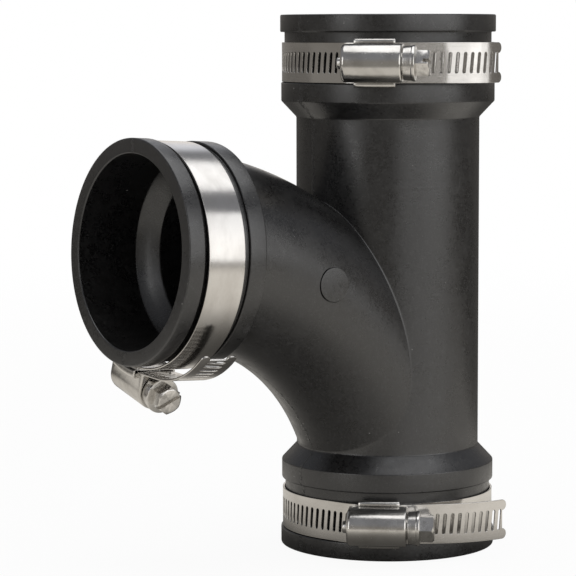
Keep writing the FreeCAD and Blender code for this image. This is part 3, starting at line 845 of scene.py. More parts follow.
def merge(pieces: Sequence[Object]) -> Object:
    """Puts several pieces into the first one's mesh, with their materials kept.

    Args:
        pieces: The pieces, of which only the first stays.

    Returns:
        The first piece.
    """
    first = pieces[0]
    joined = bmesh.new()
    slots: list[Material] = []
    for piece in pieces:
        start = len(joined.faces)
        joined.from_mesh(piece.data)
        joined.faces.ensure_lookup_table()
        own = list(piece.data.materials)
        for material in own:
            if material not in slots:
                slots.append(material)
        for face in joined.faces[start:]:
            face.material_index = slots.index(own[face.material_index]) if own else 0
    joined.to_mesh(first.data)
    joined.free()
    first.data.materials.clear()
    for material in slots:
        first.data.materials.append(material)
    for piece in pieces[1:]:
        bpy.data.objects.remove(piece)
    return first


def hand_over(piece: Object, body: str, node: str) -> None:
    """Lets a piece ride on its body in place of its node, and reports it.

    Args:
        piece: The piece.
        body: The body that carries it.
        node: The node that it stands for.
    """
    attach(piece, body)
    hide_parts(node)
    LOG.info("%s: %d faces on %s", piece.name, len(piece.data.polygons), body)


# Tee body


@dataclass
class RubberTee:
    """The one-piece moulding: run, swept branch, three collars and the waterways."""

    height: float = 173.2
    run_radius: float = 29.8
    lip_radius: float = 35.0
    lip_height: float = 5.6
    groove_radius: float = 33.6
    groove_width: float = 16.2
    rib_radius: float = 34.7
    rib_height: float = 6.0
    taper_height: float = 5.2
    socket_radius: float = 30.2
    socket_depth: float = 21.6
    mouth_round: float = 0.35
    stop_depth: float = 4.9
    run_bore: float = 26.0
    ledge: float = 0.6
    branch_height: float = 95.2
    branch_tilt: float = 3.2
    branch_reach: float = 99.3
    neck_slope: float = 11.4
    neck_root: float = 3.4
    neck_set_back: float = 1.8
    foot_height: float = 34.0
    neck_radii: tuple[float, float, float] = (30.6, 28.35, 27.25)
    neck_bore: float = 23.85
    gate_place: tuple[float, float, float] = (42.2, 29.1, 89.8)
    gate_radius: float = 5.4
    gate_root: float = 2.6
    moat_depth: float = 0.9
    moat_width: float = 0.22
    segments: int = 176
    crease_width: float = 0.5
    crease_stand: float = 0.015
    collar_rounds: tuple[float, ...] = (0, 0.55, 0.5, 0.25, 0.25, 0.45)

    @property
    def rib_end(self) -> float:
        """The length of a collar along its pipe."""
        return self.lip_height + self.groove_width + self.rib_height

    @property
    def branch_frame(self) -> Matrix:
        """The branch's frame, with Z out along its axis."""
        turn = Matrix.Rotation(math.radians(90.0 - self.branch_tilt), 4, "Y")
        return Matrix.Translation((0, 0, self.branch_height)) @ turn

    @property
    def bend(self) -> tuple[float, Vector]:
        """The radius and centre of the neck's sweep."""
        along = self.branch_reach - self.rib_end
        tilt = math.radians(self.branch_tilt)
        slope = math.radians(self.neck_slope)
        radius = (along * math.cos(tilt) + self.neck_set_back) / (1 - math.sin(slope))
        rise = self.branch_height + along * math.sin(tilt) - radius * math.cos(slope)
        return radius, Vector((radius - self.neck_set_back, 0, rise))

    def collar(self, mouth: float, inward: float) -> list[Point2]:
        """One collar's outside from the axis at its mouth to the end of its rib.

        Args:
            mouth: The mouth's height.
            inward: 1 or -1, away from the mouth.

        Returns:
            The outline as (radius, height).
        """
        lip = mouth + inward * self.lip_height
        rib = lip + inward * self.groove_width
        end = rib + inward * self.rib_height
        return [
            (0.0, mouth),
            (self.lip_radius, mouth),
            (self.lip_radius, lip),
            (self.groove_radius, lip),
            (self.groove_radius, rib),
            (self.rib_radius, rib),
            (self.rib_radius, end),
        ]

    def run_solid(self) -> Object:
        """The run with its two collars."""
        lower = self.collar(0.0, 1.0)
        upper = self.collar(self.height, -1.0)
        waist = [
            (self.run_radius, lower[-1][1] + self.taper_height),
            (self.run_radius, upper[-1][1] - self.taper_height),
        ]
        radii = [*self.collar_rounds, 0.6, 0.9]
        outline = rounded(lower + waist + upper[::-1], radii + radii[::-1], 5)
        return lathe(divided(outline, 3.0), self.segments).build("run")

    def collar_solid(self) -> Object:
        """The branch's collar."""
        corners = self.collar(self.branch_reach, -1.0) + [(0.0, self.branch_reach - self.rib_end)]
        outline = rounded(corners, [*self.collar_rounds, 0.5, 0], 5)
        return lathe(divided(outline, 3.5), self.segments).build("branch_collar", self.branch_frame)

    def neck_radius(self, share: float) -> float:
        """The neck's radius, on a curve through three radii.

        Args:
            share: How far down the neck.

        Returns:
            The radius there.
        """
        top, waist, foot = self.neck_radii
        near = top * (1 - share) * (1 - 2 * share)
        middle = waist * 4 * share * (1 - share)
        return near + middle + foot * share * (2 * share - 1)

    def neck_angles(self) -> tuple[float, float]:
        """Where the neck's sweep starts and ends, as angles about its centre."""
        radius, centre = self.bend
        start = math.radians(90.0 + self.neck_slope - self.neck_root)
        return start, math.pi - math.asin((self.foot_height - centre.z) / radius)

    def neck_point(self, share: float, angle: float, radius: float) -> Vector:
        """A point round the neck's middle line.

        Args:
            share: How far down the neck.
            angle: The way round it, 0 outside the bend.
            radius: The distance from the middle line.

        Returns:
            The point.
        """
        sweep, centre = self.bend
        start, stop = self.neck_angles()
        turn = start + (stop - start) * share
        outward = Vector((math.cos(turn), 0, math.sin(turn)))
        place = centre + outward * (sweep + radius * math.cos(angle))
        return place + Vector((0, radius * math.sin(angle), 0))

    def tube(self, name: str, radius_at: Callable[[float], float], rows: int) -> Object:
        """A closed tube along the neck.

        Args:
            name: The object's name.
            radius_at: Its radius at a share of the neck's length.
            rows: How many rings it has.

        Returns:
            The object.
        """
        mesh = Mesh()
        rings = []
        for share in (row / (rows - 1) for row in range(rows)):
            places = [self.neck_point(share, angle, radius_at(share)) for angle in around(144)]
            rings.append([mesh.point(place) for place in places])
        mesh.loft(rings)
        return mesh.build(name)

    def gate_solid(self, name: str, low: float, high: float, grown: float = 0.0) -> Object:
        """A disc over the round mark on the neck's flank.

        Args:
            name: The object's name.
            low: Its inner face, from the mark's own face.
            high: Its outer face, from the mark's own face.
            grown: How much larger it is, with all of it on the side towards the mouth.

        Returns:
            The object.
        """
        across, stand, up = self.gate_place
        radius = self.gate_radius + grown
        corners = [(0, stand + low), (radius, stand + low), (radius, stand + high), (0, stand + high)]
        outline = rounded(corners, [0, 0, 0.3, 0])
        turn = Matrix.Rotation(math.radians(-90), 4, "X")
        return lathe(outline, 72).build(name, Matrix.Translation((across + grown, 0, up)) @ turn)

    def bore_outline(self, mouth: float, inward: float, inner: float) -> list[Point2]:
        """The inside of a socket from beyond its mouth to the waterway.

        Args:
            mouth: The mouth's height.
            inward: 1 or -1, away from the mouth.
            inner: The radius at the end of the pipe stop.

        Returns:
            The outline as (radius, height).
        """
        depth = mouth + inward * self.socket_depth
        stop = depth + inward * self.stop_depth
        flare = self.mouth_round
        return [
            (0.0, mouth - inward * 4),
            (self.socket_radius + flare, mouth - inward * 4),
            (self.socket_radius + flare, mouth - inward * 0.001),
            (self.socket_radius + flare * 0.35, mouth + inward * flare * 0.35),
            (self.socket_radius, mouth + inward * flare),
            (self.socket_radius, depth - inward * 0.4),
            (self.socket_radius - 0.25, depth + inward * 0.1),
            (inner + 0.25, stop - inward * 0.3),
            (inner, stop + inward * 0.3),
        ]

    def run_cutter(self) -> Object:
        """The run's sockets and waterway as a solid."""
        lower = self.bore_outline(0.0, 1.0, self.run_bore)
        upper = self.bore_outline(self.height, -1.0, self.run_bore)
        return lathe(divided(lower + upper[::-1], 3.5), self.segments).build("run_cutter")

    def branch_cutter(self) -> Object:
        """The branch's socket as a solid."""
        outline = self.bore_outline(self.branch_reach, -1.0, self.neck_bore + self.ledge)
        end = self.branch_reach - self.socket_depth - self.stop_depth
        outline = outline[:-1] + [(self.neck_bore + self.ledge, end), (0.0, end)]
        return lathe(divided(outline, 3.5), self.segments).build("branch_cutter", self.branch_frame)

    def run_surface(self, height: float) -> float:
        """The run's outside radius at a height.

        Args:
            height: The height.

        Returns:
            The radius of the rib, the taper or the run.
        """
        low = self.rib_end
        high = self.height - self.rib_end
        depth = min(height - low, high - height)
        if depth < 0:
            return self.rib_radius
        share = min(depth / self.taper_height, 1.0)
        return self.rib_radius + (self.run_radius - self.rib_radius) * share

    def outside(self, point: Vector) -> float:
        """How far a point is from the run's outside."""
        return math.hypot(point.x, point.y) - self.run_surface(point.z)

    def neck_side(self, share: float, angle: float) -> Vector:
        """The point of the neck's outside at a share of its length and an angle."""
        return self.neck_point(share, angle, self.neck_radius(share))

    def crease(self, angle: float) -> float:
        """Finds where the neck's line at an angle meets the run.

        Args:
            angle: The way round the neck.

        Returns:
            The place, as a share of the neck.
        """
        low, high = 0.0, 1.0
        for _ in range(40):
            middle = (low + high) / 2
            if self.outside(self.neck_side(middle, angle)) > 0:
                low = middle
            else:
                high = middle
        return low

    def hollow(self, share: float, angle: float, along: Vector) -> list[Vector]:
        """The soft hollow's section at one point of the crease.

        Args:
            share: The point's place along the neck.
            angle: Its way round the neck.
            along: The crease's direction there.

        Returns:
            The section from the neck to the run, a little proud of both.
        """
        corner = self.neck_side(share, angle)
        up_neck = self.neck_side(share - 0.01, angle) - corner
        up_neck = (up_neck - along * up_neck.dot(along)).normalized()
        probe = 0.2
        rise = self.run_surface(corner.z + probe) - self.run_surface(corner.z - probe)
        level = math.hypot(corner.x, corner.y)
        out = Vector((corner.x / level, corner.y / level, -rise / (2 * probe))).normalized()
        away = corner - self.neck_point(share, 0.0, 0.0)
        side = out.cross(along).normalized()
        if side.dot(away) < 0:
            side = -side
        start = corner + up_neck * self.crease_width
        stop = corner + side * self.crease_width
        reach = math.hypot(stop.x, stop.y)
        flat = self.run_surface(stop.z)
        stop = Vector((stop.x * flat / reach, stop.y * flat / reach, stop.z))
        proud = (out + away.normalized()).normalized() * self.crease_stand
        return [place + proud for place in bent_line(start, corner, stop, 6)]

    def crease_strip(self) -> Object:
        """The soft hollow where the neck meets the run."""
        mesh = Mesh()
        angles = around(240)
        shares = [self.crease(angle) for angle in angles]
        corners = [self.neck_side(share, angle) for share, angle in zip(shares, angles)]
        neighbours = zip(corners[1:] + corners[:1], corners[-1:] + corners[:-1])
        rows = []
        for share, angle, (following, before) in zip(shares, angles, neighbours):
            section = self.hollow(share, angle, (following - before).normalized())
            rows.append([mesh.point(place) for place in section])
        for row, following in zip(rows, rows[1:] + rows[:1]):
            mesh.bridge(row, following, closed=False)
        return mesh.build("crease")

    def build(self, outside: Material, inside: Material) -> Object:
        """Makes the whole moulding.

        Args:
            outside: The finish of the moulded faces.
            inside: The finish of the cored faces.

        Returns:
            The piece.
        """
        body = self.run_solid()
        body.data.materials.append(outside)
        steps = [
            (self.tube("neck", self.neck_radius, 56), outside, Cut.JOIN),
            (self.gate_solid("moat", -self.moat_depth, 4.0, self.moat_width), outside, Cut.REMOVE),
            (self.gate_solid("gate", -self.gate_root, 0.0), outside, Cut.JOIN),
            (self.collar_solid(), outside, Cut.JOIN),
            (self.run_cutter(), inside, Cut.REMOVE),
            (self.branch_cutter(), inside, Cut.REMOVE),
            (self.tube("neck_bore", lambda share: self.neck_bore, 48), inside, Cut.REMOVE),
        ]
        for piece, material, cut in steps:
            piece.data.materials.append(material)
            work(body, piece, cut)
        shade_smooth(body, 24.0)
        crease = self.crease_strip()
        crease.data.materials.append(outside)
        crease.data.shade_smooth()
        body = merge([body, crease])
        body.name = "rubber_tee"
        return body


# Clamps


@dataclass
class StripPath:
    """The inner face of a clamp's strip, as tangent arcs and lines, turning clockwise."""

    point: Vector
    heading: float
    length: float = 0.0
    pieces: list[tuple[float, float, Vector, float, Optional[float]]] = field(default_factory=list)

    @staticmethod
    def outward(heading: float) -> Vector:
        """The way out of the strip."""
        return Vector((-math.sin(heading), math.cos(heading), 0))

    @staticmethod
    def bent(point: Vector, heading: float, radius: float, length: float) -> tuple[Vector, float]:
        """Moves along an arc.

        Args:
            point: The start.
            heading: The heading there.
            radius: The arc's radius.
            length: How far to go.

        Returns:
            The new point and heading.
        """
        turned = heading - length / radius
        centre = point - StripPath.outward(heading) * radius
        return centre + StripPath.outward(turned) * radius, turned

    def line(self, length: float) -> None:
        """Adds a straight stretch of a length."""
        self.pieces.append((self.length, length, self.point, self.heading, None))
        self.point = self.point + level_way(self.heading) * length
        self.length += length

    def arc(self, radius: float, turn: float) -> None:
        """Adds an arc.

        Args:
            radius: Its radius.
            turn: How far it turns, in radians.
        """
        length = radius * turn
        self.pieces.append((self.length, length, self.point, self.heading, radius))
        self.point, self.heading = self.bent(self.point, self.heading, radius, length)
        self.length += length

    def at(self, distance: float) -> tuple[Vector, float]:
        """Finds a place on the strip.

        Args:
            distance: How far along the strip it is.

        Returns:
            The point and the heading there.
        """
        begin, _, point, heading, radius = next(
            (piece for piece in self.pieces if distance <= piece[0] + piece[1]), self.pieces[-1]
        )
        part = distance - begin
        if radius is None:
            return point + level_way(heading) * part, heading
        return self.bent(point, heading, radius, part)


@dataclass(frozen=True)
class Fit:
    """How one clamp happens to sit: its slack, its bent tail and where its screw has stopped."""

    slack: float
    tail_straight: float
    tail_radius: float
    tail_curl_angle: float
    drive_angle: float


FITS = {
    Collar.UPPER: Fit(0.0, 15.0, 23.0, 52.0, -13.0),
    Collar.LOWER: Fit(0.0, 12.0, 40.0, 34.0, 75.0),
    Collar.BRANCH: Fit(0.8, 10.5, 33.0, 47.5, 120.0),
}
ALONG_SCREW = Matrix(((0, 0, 1, 0), (1, 0, 0, 0), (0, 1, 0, 0), (0, 0, 0, 1)))


@dataclass(frozen=True)
class ClampFinishes:
    """The finishes that the three clamps share."""

    strip: Material
    pressed: Material
    turned: Material


@dataclass
class HoseClamp:
    """A worm-drive clamp: slotted strip, saddle, screw housing and worm screw."""

    collar: Collar
    placement: Matrix
    finishes: ClampFinishes
    tight_radius: float = 33.85
    strip_width: float = 12.7
    strip_gauge: float = 0.6
    inner_end_angle: float = 8.0
    bridge_angle: float = 11.4
    ramp_radius: float = 12.0
    lobe_radius: float = 1.7
    slot_length: float = 6.7
    slot_width: float = 1.05
    slot_pitch: float = 2.4
    slot_lean_angle: float = 5.3
    slot_margin: float = 2.9
    slotted_length: float = 99.0
    saddle_length: float = 12.0
    saddle_width: float = 15.3
    saddle_floor: float = 1.0
    fold_radius: float = 1.0
    sheet: float = 0.75
    sliding_gap: float = 0.15
    worm_gap: float = 0.3
    tight_wing_radius: float = 35.15
    housing_width: float = 12.0
    housing_front: float = 9.1
    housing_back: float = 9.8
    thread_radius: float = 4.2
    root_radius: float = 3.1
    tip_radius: float = 2.0
    tip_stand: float = 1.5
    journal_radius: float = 3.6
    running_gap: float = 0.05
    end_gap: float = 0.4
    flange_radius: float = 5.6
    flange_root: float = 5.0
    flange_rim: float = 0.9
    flange_thickness: float = 3.8
    hex_width: float = 8.0
    hex_length: float = 4.5
    drive_width: float = 1.2
    drive_depth: float = 2.0
    broken_edge: float = 0.07
    plain_step: float = 1.2
    skirt: float = 2.6
    back_round: float = 1.3
    front_round: float = 0.55
    thread_crest: float = 0.15
    thread_flank: float = 0.14
    thread_fade: float = 1.2

    @property
    def fit(self) -> Fit:
        """How this clamp sits."""
        return FITS[self.collar]

    @property
    def ring_radius(self) -> float:
        """The inside of the ring."""
        return self.tight_radius + self.fit.slack

    @property
    def wing_radius(self) -> float:
        """The underside of the saddle's wings."""
        return self.tight_wing_radius + self.fit.slack

    @property
    def seat(self) -> float:
        """The outside of the ring."""
        return self.ring_radius + self.strip_gauge

    @property
    def bridge(self) -> float:
        """The inner face of the strip inside the housing."""
        return self.seat + self.saddle_floor + self.sliding_gap

    @property
    def housing_seat(self) -> float:
        """The underside of the housing."""
        return self.bridge + self.strip_gauge + self.sliding_gap

    @property
    def screw_height(self) -> float:
        """The screw's axis above the ring's axis."""
        return self.bridge + self.strip_gauge + self.worm_gap + self.thread_radius

    @property
    def screw_frame(self) -> Matrix:
        """The screw's frame, with Z along it towards the head."""
        return self.placement @ Matrix.Translation((0, self.screw_height, 0)) @ ALONG_SCREW

    def path(self) -> StripPath:
        """The strip from its inner end, round the ring, through the housing and out to the tail."""
        before = math.radians(self.inner_end_angle)
        half_bridge = math.radians(self.bridge_angle)
        ramp = math.acos((self.ring_radius - self.ramp_radius) / (self.bridge - self.ramp_radius))
        start = Vector((-self.ring_radius * math.sin(before), self.ring_radius * math.cos(before), 0))
        path = StripPath(start, before)
        path.arc(self.ring_radius, 2 * math.pi - half_bridge - ramp + before)
        path.line((self.bridge - self.ramp_radius) * math.sin(ramp))
        path.arc(self.ramp_radius, ramp)
        path.arc(self.bridge, 2 * half_bridge)
        path.line(self.fit.tail_straight)
        path.arc(self.fit.tail_radius, math.radians(self.fit.tail_curl_angle))
        return path

    def slot_loop(self, middle: float, inset: float) -> list[Point2]:
        """The edge of one slot, starting half way up its near side.

        Args:
            middle: The slot's middle along the strip.
            inset: How far the loop lies outside the slot.

        Returns:
            Sixteen points as (along, across).
        """
        radius = self.slot_width / 2 + inset
        straight = (self.slot_length - self.slot_width) / 2
        right = [(radius, straight * share) for share in (-1, -0.5, 0, 0.5, 1)]
        turns = [math.radians(angle) for angle in (45, 90, 135)]
        top = [(radius * math.cos(turn), straight + radius * math.sin(turn)) for turn in turns]
        loop = right + top
        loop += [(-along, -across) for along, across in loop]
        lean = math.radians(self.slot_lean_angle)
        return [
            (
                middle + along * math.cos(lean) + across * math.sin(lean),
                across * math.cos(lean) - along * math.sin(lean),
            )
            for along, across in loop
        ]

    def tail_end(self, length: float, inset: float) -> list[Point2]:
        """The lobed end of the tail, from one edge of the strip to the other.

        Args:
            length: The strip's length.
            inset: How far the line lies inside the end.

        Returns:
            The points as (along, across).
        """
        lobe = self.lobe_radius
        reach = lobe - inset
        middle = self.strip_width / 2 - lobe
        turns = [math.pi * step / 12 for step in range(13)]
        side = [(length - lobe + reach * math.sin(turn), middle + reach * math.cos(turn)) for turn in turns]
        return side + [(along, -across) for along, across in reversed(side)]

    def strip_layout(self, length: float, inset: float) -> tuple[list[Point2], list[Face]]:
        """Lays the strip out flat.

        Args:
            length: The strip's length.
            inset: How far every edge is drawn into the metal.

        Returns:
            Points as (along, across), and the faces between them.
        """
        half = self.strip_width / 2 - inset
        levels = (-4.7, -2.35, 0.0, 2.35, 4.7)
        flat: list[Point2] = []
        faces: list[Face] = []

        def add(points: Iterable[Point2]) -> list[int]:
            """Adds points and returns their numbers."""
            start = len(flat)
            flat.extend(points)
            return list(range(start, len(flat)))

        def column(along: float) -> list[int]:
            """Adds a row across the strip."""
            return add([(along, -half), *((along, level) for level in levels), (along, half)])

        count = int((self.slotted_length - self.slot_margin) / self.slot_pitch) + 1
        last = length - self.slot_margin
        first_edge = last - (count - 0.5) * self.slot_pitch
        plain = max(2, round(first_edge / self.plain_step))
        row = column(inset)
        for step in range(1, plain + 1):
            following = column(first_edge * step / plain)
            for number in range(len(row) - 1):
                faces.append((row[number], following[number], following[number + 1], row[number + 1]))
            row = following
        for number in reversed(range(count)):
            middle = last - number * self.slot_pitch
            following = column(middle + self.slot_pitch / 2)
            top, bottom = add([(middle, half), (middle, -half)])
            hole = add(self.slot_loop(middle, inset))
            outer = [*following[1:], top, *reversed(row), bottom, following[0]]
            for step, start in enumerate(hole):
                after = (step + 1) % len(hole)
                faces.append((start, outer[step], outer[after], hole[after]))
            row = following
        faces.append((*row, *add(self.tail_end(length, inset))))
        return flat, faces

    def strip(self) -> Object:
        """Makes the strip with its slots and lobed tail: two skins, and a rim with broken edges."""
        path = self.path()
        edge = self.broken_edge
        inner, faces = self.strip_layout(path.length, edge)
        exact, _ = self.strip_layout(path.length, 0.0)
        mesh = Mesh()

        def level(flat: Sequence[Point2], offset: float) -> list[int]:
            """Adds the flat points at a height above the strip's inner face.

            Args:
                flat: Points as (along, across).
                offset: The height.

            Returns:
                Their numbers.
            """
            numbers = []
            for along, across in flat:
                point, heading = path.at(along)
                place = point + path.outward(heading) * offset + Vector((0, 0, -across))
                numbers.append(mesh.point(place, Vector((along, across, offset))))
            return numbers

        top, under = level(inner, self.strip_gauge), level(inner, 0.0)
        for face in faces:
            mesh.faces.append(tuple(top[number] for number in face))
            mesh.faces.append(tuple(under[number] for number in reversed(face)))
        heights = (self.strip_gauge, self.strip_gauge - edge, edge, 0.0)
        rims = [level(inner if end in (0, 3) else exact, height) for end, height in enumerate(heights)]
        sides = [side for face in faces for side in zip(face, face[1:] + face[:1])]
        uses = Counter(frozenset(side) for side in sides)
        for start, stop in (side for side in sides if uses[frozenset(side)] == 1):
            for high, low in zip(rims, rims[1:]):
                mesh.faces.append((high[stop], high[start], low[start], low[stop]))
        piece = mesh.build(f"{self.collar.value}_strip", self.placement)
        with opened(piece.data) as copy:
            loose = [vert for vert in copy.verts if not vert.link_faces]
            bmesh.ops.delete(copy, geom=loose, context="VERTS")
        return finished(piece, self.finishes.strip, 60.0)

    def swept(self, name: str, outline: Sequence[Point2], reach: float) -> Object:
        """Sweeps a closed (radius, across) outline round the ring's axis over the housing.

        Args:
            name: The object's name.
            outline: The corners in order.
            reach: The length of the sweep at the ring's outside.

        Returns:
            The object.
        """
        mesh = Mesh()
        half = reach / self.seat / 2
        steps = 18
        rings = []
        for step in range(steps + 1):
            angle = half * (2 * step / steps - 1)
            ring = []
            for radius, across in outline:
                place = Vector((radius * math.sin(angle), radius * math.cos(angle), across))
                ring.append(mesh.point(place, Vector((angle * self.seat, across, radius))))
            rings.append(ring)
        mesh.loft(rings)
        return mesh.build(name, self.placement)

    def saddle(self) -> Object:
        """Makes the folded plate that holds the housing on the ring."""
        floor = self.seat + self.saddle_floor
        foot = self.housing_seat + self.sheet
        top = foot + self.sheet
        outside = self.saddle_width / 2
        plate = self.strip_width / 2
        grip = outside - self.sheet * 2
        overlap = 0.05
        chamfer = 0.4
        bend = self.fold_radius
        fold = [
            (top - bend * (1 - math.sin(turn)), outside - bend * (1 - math.cos(turn)))
            for turn in (math.radians(15 * step) for step in range(7))
        ]
        half = [
            (self.seat, plate - overlap),
            (self.wing_radius, plate - overlap),
            (self.wing_radius, outside - chamfer),
            (self.wing_radius + chamfer, outside),
            *fold,
            (top, grip),
            (foot, grip),
            (foot, outside - self.sheet),
            (floor, outside - self.sheet),
        ]
        outline = half + [(radius, -across) for radius, across in reversed(half)]
        piece = self.swept(f"{self.collar.value}_saddle_plate", outline, self.saddle_length)
        soften(piece, 0.14, 30.0)
        return finished(piece, self.finishes.pressed, 40.0)

    def dome_outline(self, shrink: float, foot: float) -> list[Point2]:
        """The dome's section as (height above the ring's axis, across).

        Args:
            shrink: How far inside the dome's outside it lies.
            foot: Where its sides end.

        Returns:
            The corners in order.
        """
        half = self.housing_width / 2 - shrink
        height = self.screw_height
        arch = []
        for step in range(33):
            angle = math.pi * step / 32
            arch.append((height + half * math.sin(angle), half * math.cos(angle)))
        return [(foot, half), *arch, (foot, -half)]

    def block(self, name: str, outline: Sequence[Point2], low: float, high: float) -> Object:
        """Stands a (height, across) outline up along the screw.

        Args:
            name: The object's name.
            outline: The corners in order.
            low: The end towards the screw's tip.
            high: The end towards its head.

        Returns:
            The object.
        """
        return prism(outline, low, high).build(name, self.placement @ ALONG_SCREW)

    def dome(self) -> Object:
        """The solid dome with its two ends rounded."""
        low, high = -self.housing_back, self.housing_front
        outline = self.dome_outline(0.0, self.housing_seat - self.skirt)
        piece = self.block(f"{self.collar.value}_housing", outline, low, high)
        inverse = (self.placement.inverted() @ Matrix.Scale(1 / MM, 4)).to_4x4()
        with opened(piece.data) as copy:
            for end, width in ((low, self.back_round), (high, self.front_round)):
                chosen = [
                    edge
                    for edge in copy.edges
                    if all(abs((inverse @ vert.co).x - end) < 0.01 for vert in edge.verts)
                ]
                size = width * MM
                bmesh.ops.bevel(copy, geom=chosen, offset=size, segments=5, profile=0.5, affect="EDGES")
        return piece

    def flare(self) -> list[Point2]:
        """The section of one flange, which lies under the saddle's fold."""
        grip = self.saddle_width / 2 - self.sheet - self.sliding_gap
        seat = self.housing_seat
        top = seat + self.sheet
        fold = self.housing_width / 2 - 0.3
        # Corners four to six draw the round at the foot of the dome's side
        return [
            (seat, fold - 0.4),
            (seat, grip),
            (top, grip),
            (top, fold + 0.75),
            (top + 0.25, fold + 0.42),
            (top + 0.75, fold + 0.25),
            (top + 0.75, fold - 0.4),
        ]

    def housing(self) -> Object:
        """Makes the pressed dome with its end walls, flanges and bearing holes."""
        piece = self.dome()
        low, high = -self.housing_back, self.housing_front
        seat = self.housing_seat
        for sign in (1, -1):
            outline = [(radius, sign * across) for radius, across in self.flare()]
            work(piece, self.swept("flange", outline, self.saddle_length), Cut.JOIN)
        inside = self.dome_outline(self.sheet, seat - self.skirt - 3)
        work(piece, self.block("cavity", inside, low + self.sheet, high - self.sheet), Cut.REMOVE)
        work(piece, rod(seat, -20, 20, 256).build("under", self.placement), Cut.REMOVE)
        for radius, start, stop in (
            (self.tip_radius + self.running_gap, -30.0, 0.0),
            (self.journal_radius + self.running_gap, 0.0, 30.0),
        ):
            mouth = prism([(-6.0, -radius), (0.0, -radius), (0.0, radius), (-6.0, radius)], start, stop)
            for name, tool in (("drill", rod(radius, start, stop, 64)), ("mouth", mouth)):
                work(piece, tool.build(name, self.screw_frame), Cut.REMOVE)
        soften(piece, 0.11, 50.0)
        return finished(piece, self.finishes.pressed, 38.0)

    @property
    def worm_span(self) -> tuple[float, float]:
        """The worm's two ends along the screw."""
        back = -(self.housing_back - self.sheet - self.end_gap)
        return back, self.housing_front - self.sheet - self.end_gap

    @property
    def head_seat(self) -> float:
        """Where the hexagon stands on the flange."""
        return self.housing_front + self.end_gap + self.flange_thickness

    def worm_outline(self) -> list[Point2]:
        """The screw's outline from its tip to the face under its head."""
        back, front = self.worm_span
        flange = self.housing_front + self.end_gap
        head = self.head_seat
        tip = -(self.housing_back + self.tip_stand)
        stem = rounded(
            [
                (0.0, tip),
                (self.tip_radius - 0.2, tip),
                (self.tip_radius, tip + 1.2),
                (self.tip_radius, back),
                (self.root_radius, back),
            ],
            [0, 0.5, 0.3, 0, 0],
        )
        steps = 150
        worm = [(self.root_radius, back + (front - back) * step / steps) for step in range(1, steps)]
        end = rounded(
            [
                (self.root_radius, front),
                (self.journal_radius, front),
                (self.journal_radius, flange),
                (self.flange_root + 0.22, flange),
                (self.flange_root + 0.42, head - self.flange_rim * 1.3),
                (self.flange_radius, head - self.flange_rim),
                (self.flange_radius, head),
                (0.0, head),
            ],
            [0, 0.15, 0.1, 0.3, 0.5, 0.25, 0.35, 0],
        )
        return stem + worm + end

    def thread(self, radius: float, height: float, angle: float) -> float:
        """The worm's radius at a height and an angle.

        Args:
            radius: The stem's radius there.
            height: The height along the screw.
            angle: The angle round it.

        Returns:
            The radius with the thread.
        """
        back, front = self.worm_span
        if not back + 0.05 < height < front - 0.05 or abs(radius - self.root_radius) > 0.01:
            return radius
        turn = (height / self.slot_pitch - angle / (2 * math.pi)) % 1.0
        ridge = 1 - min(max((abs(turn - 0.5) - self.thread_crest) / self.thread_flank, 0.0), 1.0)
        fade = min((height - back) / self.thread_fade, (front - height) / self.thread_fade, 1.0)
        return radius + (self.thread_radius - self.root_radius) * ridge * fade

    def drive_corners(self, reach: float) -> list[Point2]:
        """The driving slot's outline across the head.

        Args:
            reach: Half its length, beyond the head.

        Returns:
            Its four corners.
        """
        half = self.drive_width / 2
        drive = math.radians(self.fit.drive_angle)
        side = math.cos(drive), math.sin(drive)
        return [
            (side[0] * along - side[1] * across, side[1] * along + side[0] * across)
            for along, across in ((-reach, -half), (reach, -half), (reach, half), (-reach, half))
        ]

    def screw(self) -> Object:
        """Makes the worm screw with its slotted hexagon head."""
        stem = lathe(self.worm_outline(), 80, self.thread).build("stem", self.screw_frame)
        base = self.head_seat - 0.3
        end = self.head_seat + self.hex_length
        flat = self.hex_width / 2
        corner = flat / math.cos(math.pi / 6)
        turns = [math.radians(60 * number) for number in range(6)]
        corners = [(corner * math.cos(turn), corner * math.sin(turn)) for turn in turns]
        head = prism(corners, base, end).build(f"{self.collar.value}_screw_head", self.screw_frame)
        # A turned blank, whose chamfer takes the hexagon's corners off
        blank = [
            (0, base - 1),
            (corner + 1, base - 1),
            (corner + 1, end - 1.1),
            (corner, end - 0.75),
            (flat + 0.05, end - 0.25),
            (flat - 0.35, end),
            (0, end),
        ]
        work(head, lathe(blank, 96).build("round", self.screw_frame), Cut.OVERLAP)
        slot = prism(self.drive_corners(2 * corner), end - self.drive_depth, end + 2)
        work(head, slot.build("drive", self.screw_frame), Cut.REMOVE)
        soften(head, 0.10, 30.0)
        steel = self.finishes.turned
        piece = merge([finished(stem, steel, 38.0), finished(head, steel, 30.0)])
        piece.name = f"{self.collar.value}_screw"
        return piece

    def dress(self) -> None:
        """Makes the clamp's four pieces and hands them over."""
        body = self.collar.value
        hand_over(self.strip(), body, f"{body}_band")
        hand_over(self.saddle(), body, f"{body}_saddle")
        hand_over(self.housing(), body, f"{body}_screw_housing")
        hand_over(self.screw(), f"{body}_screw", f"{body}_worm_screw")


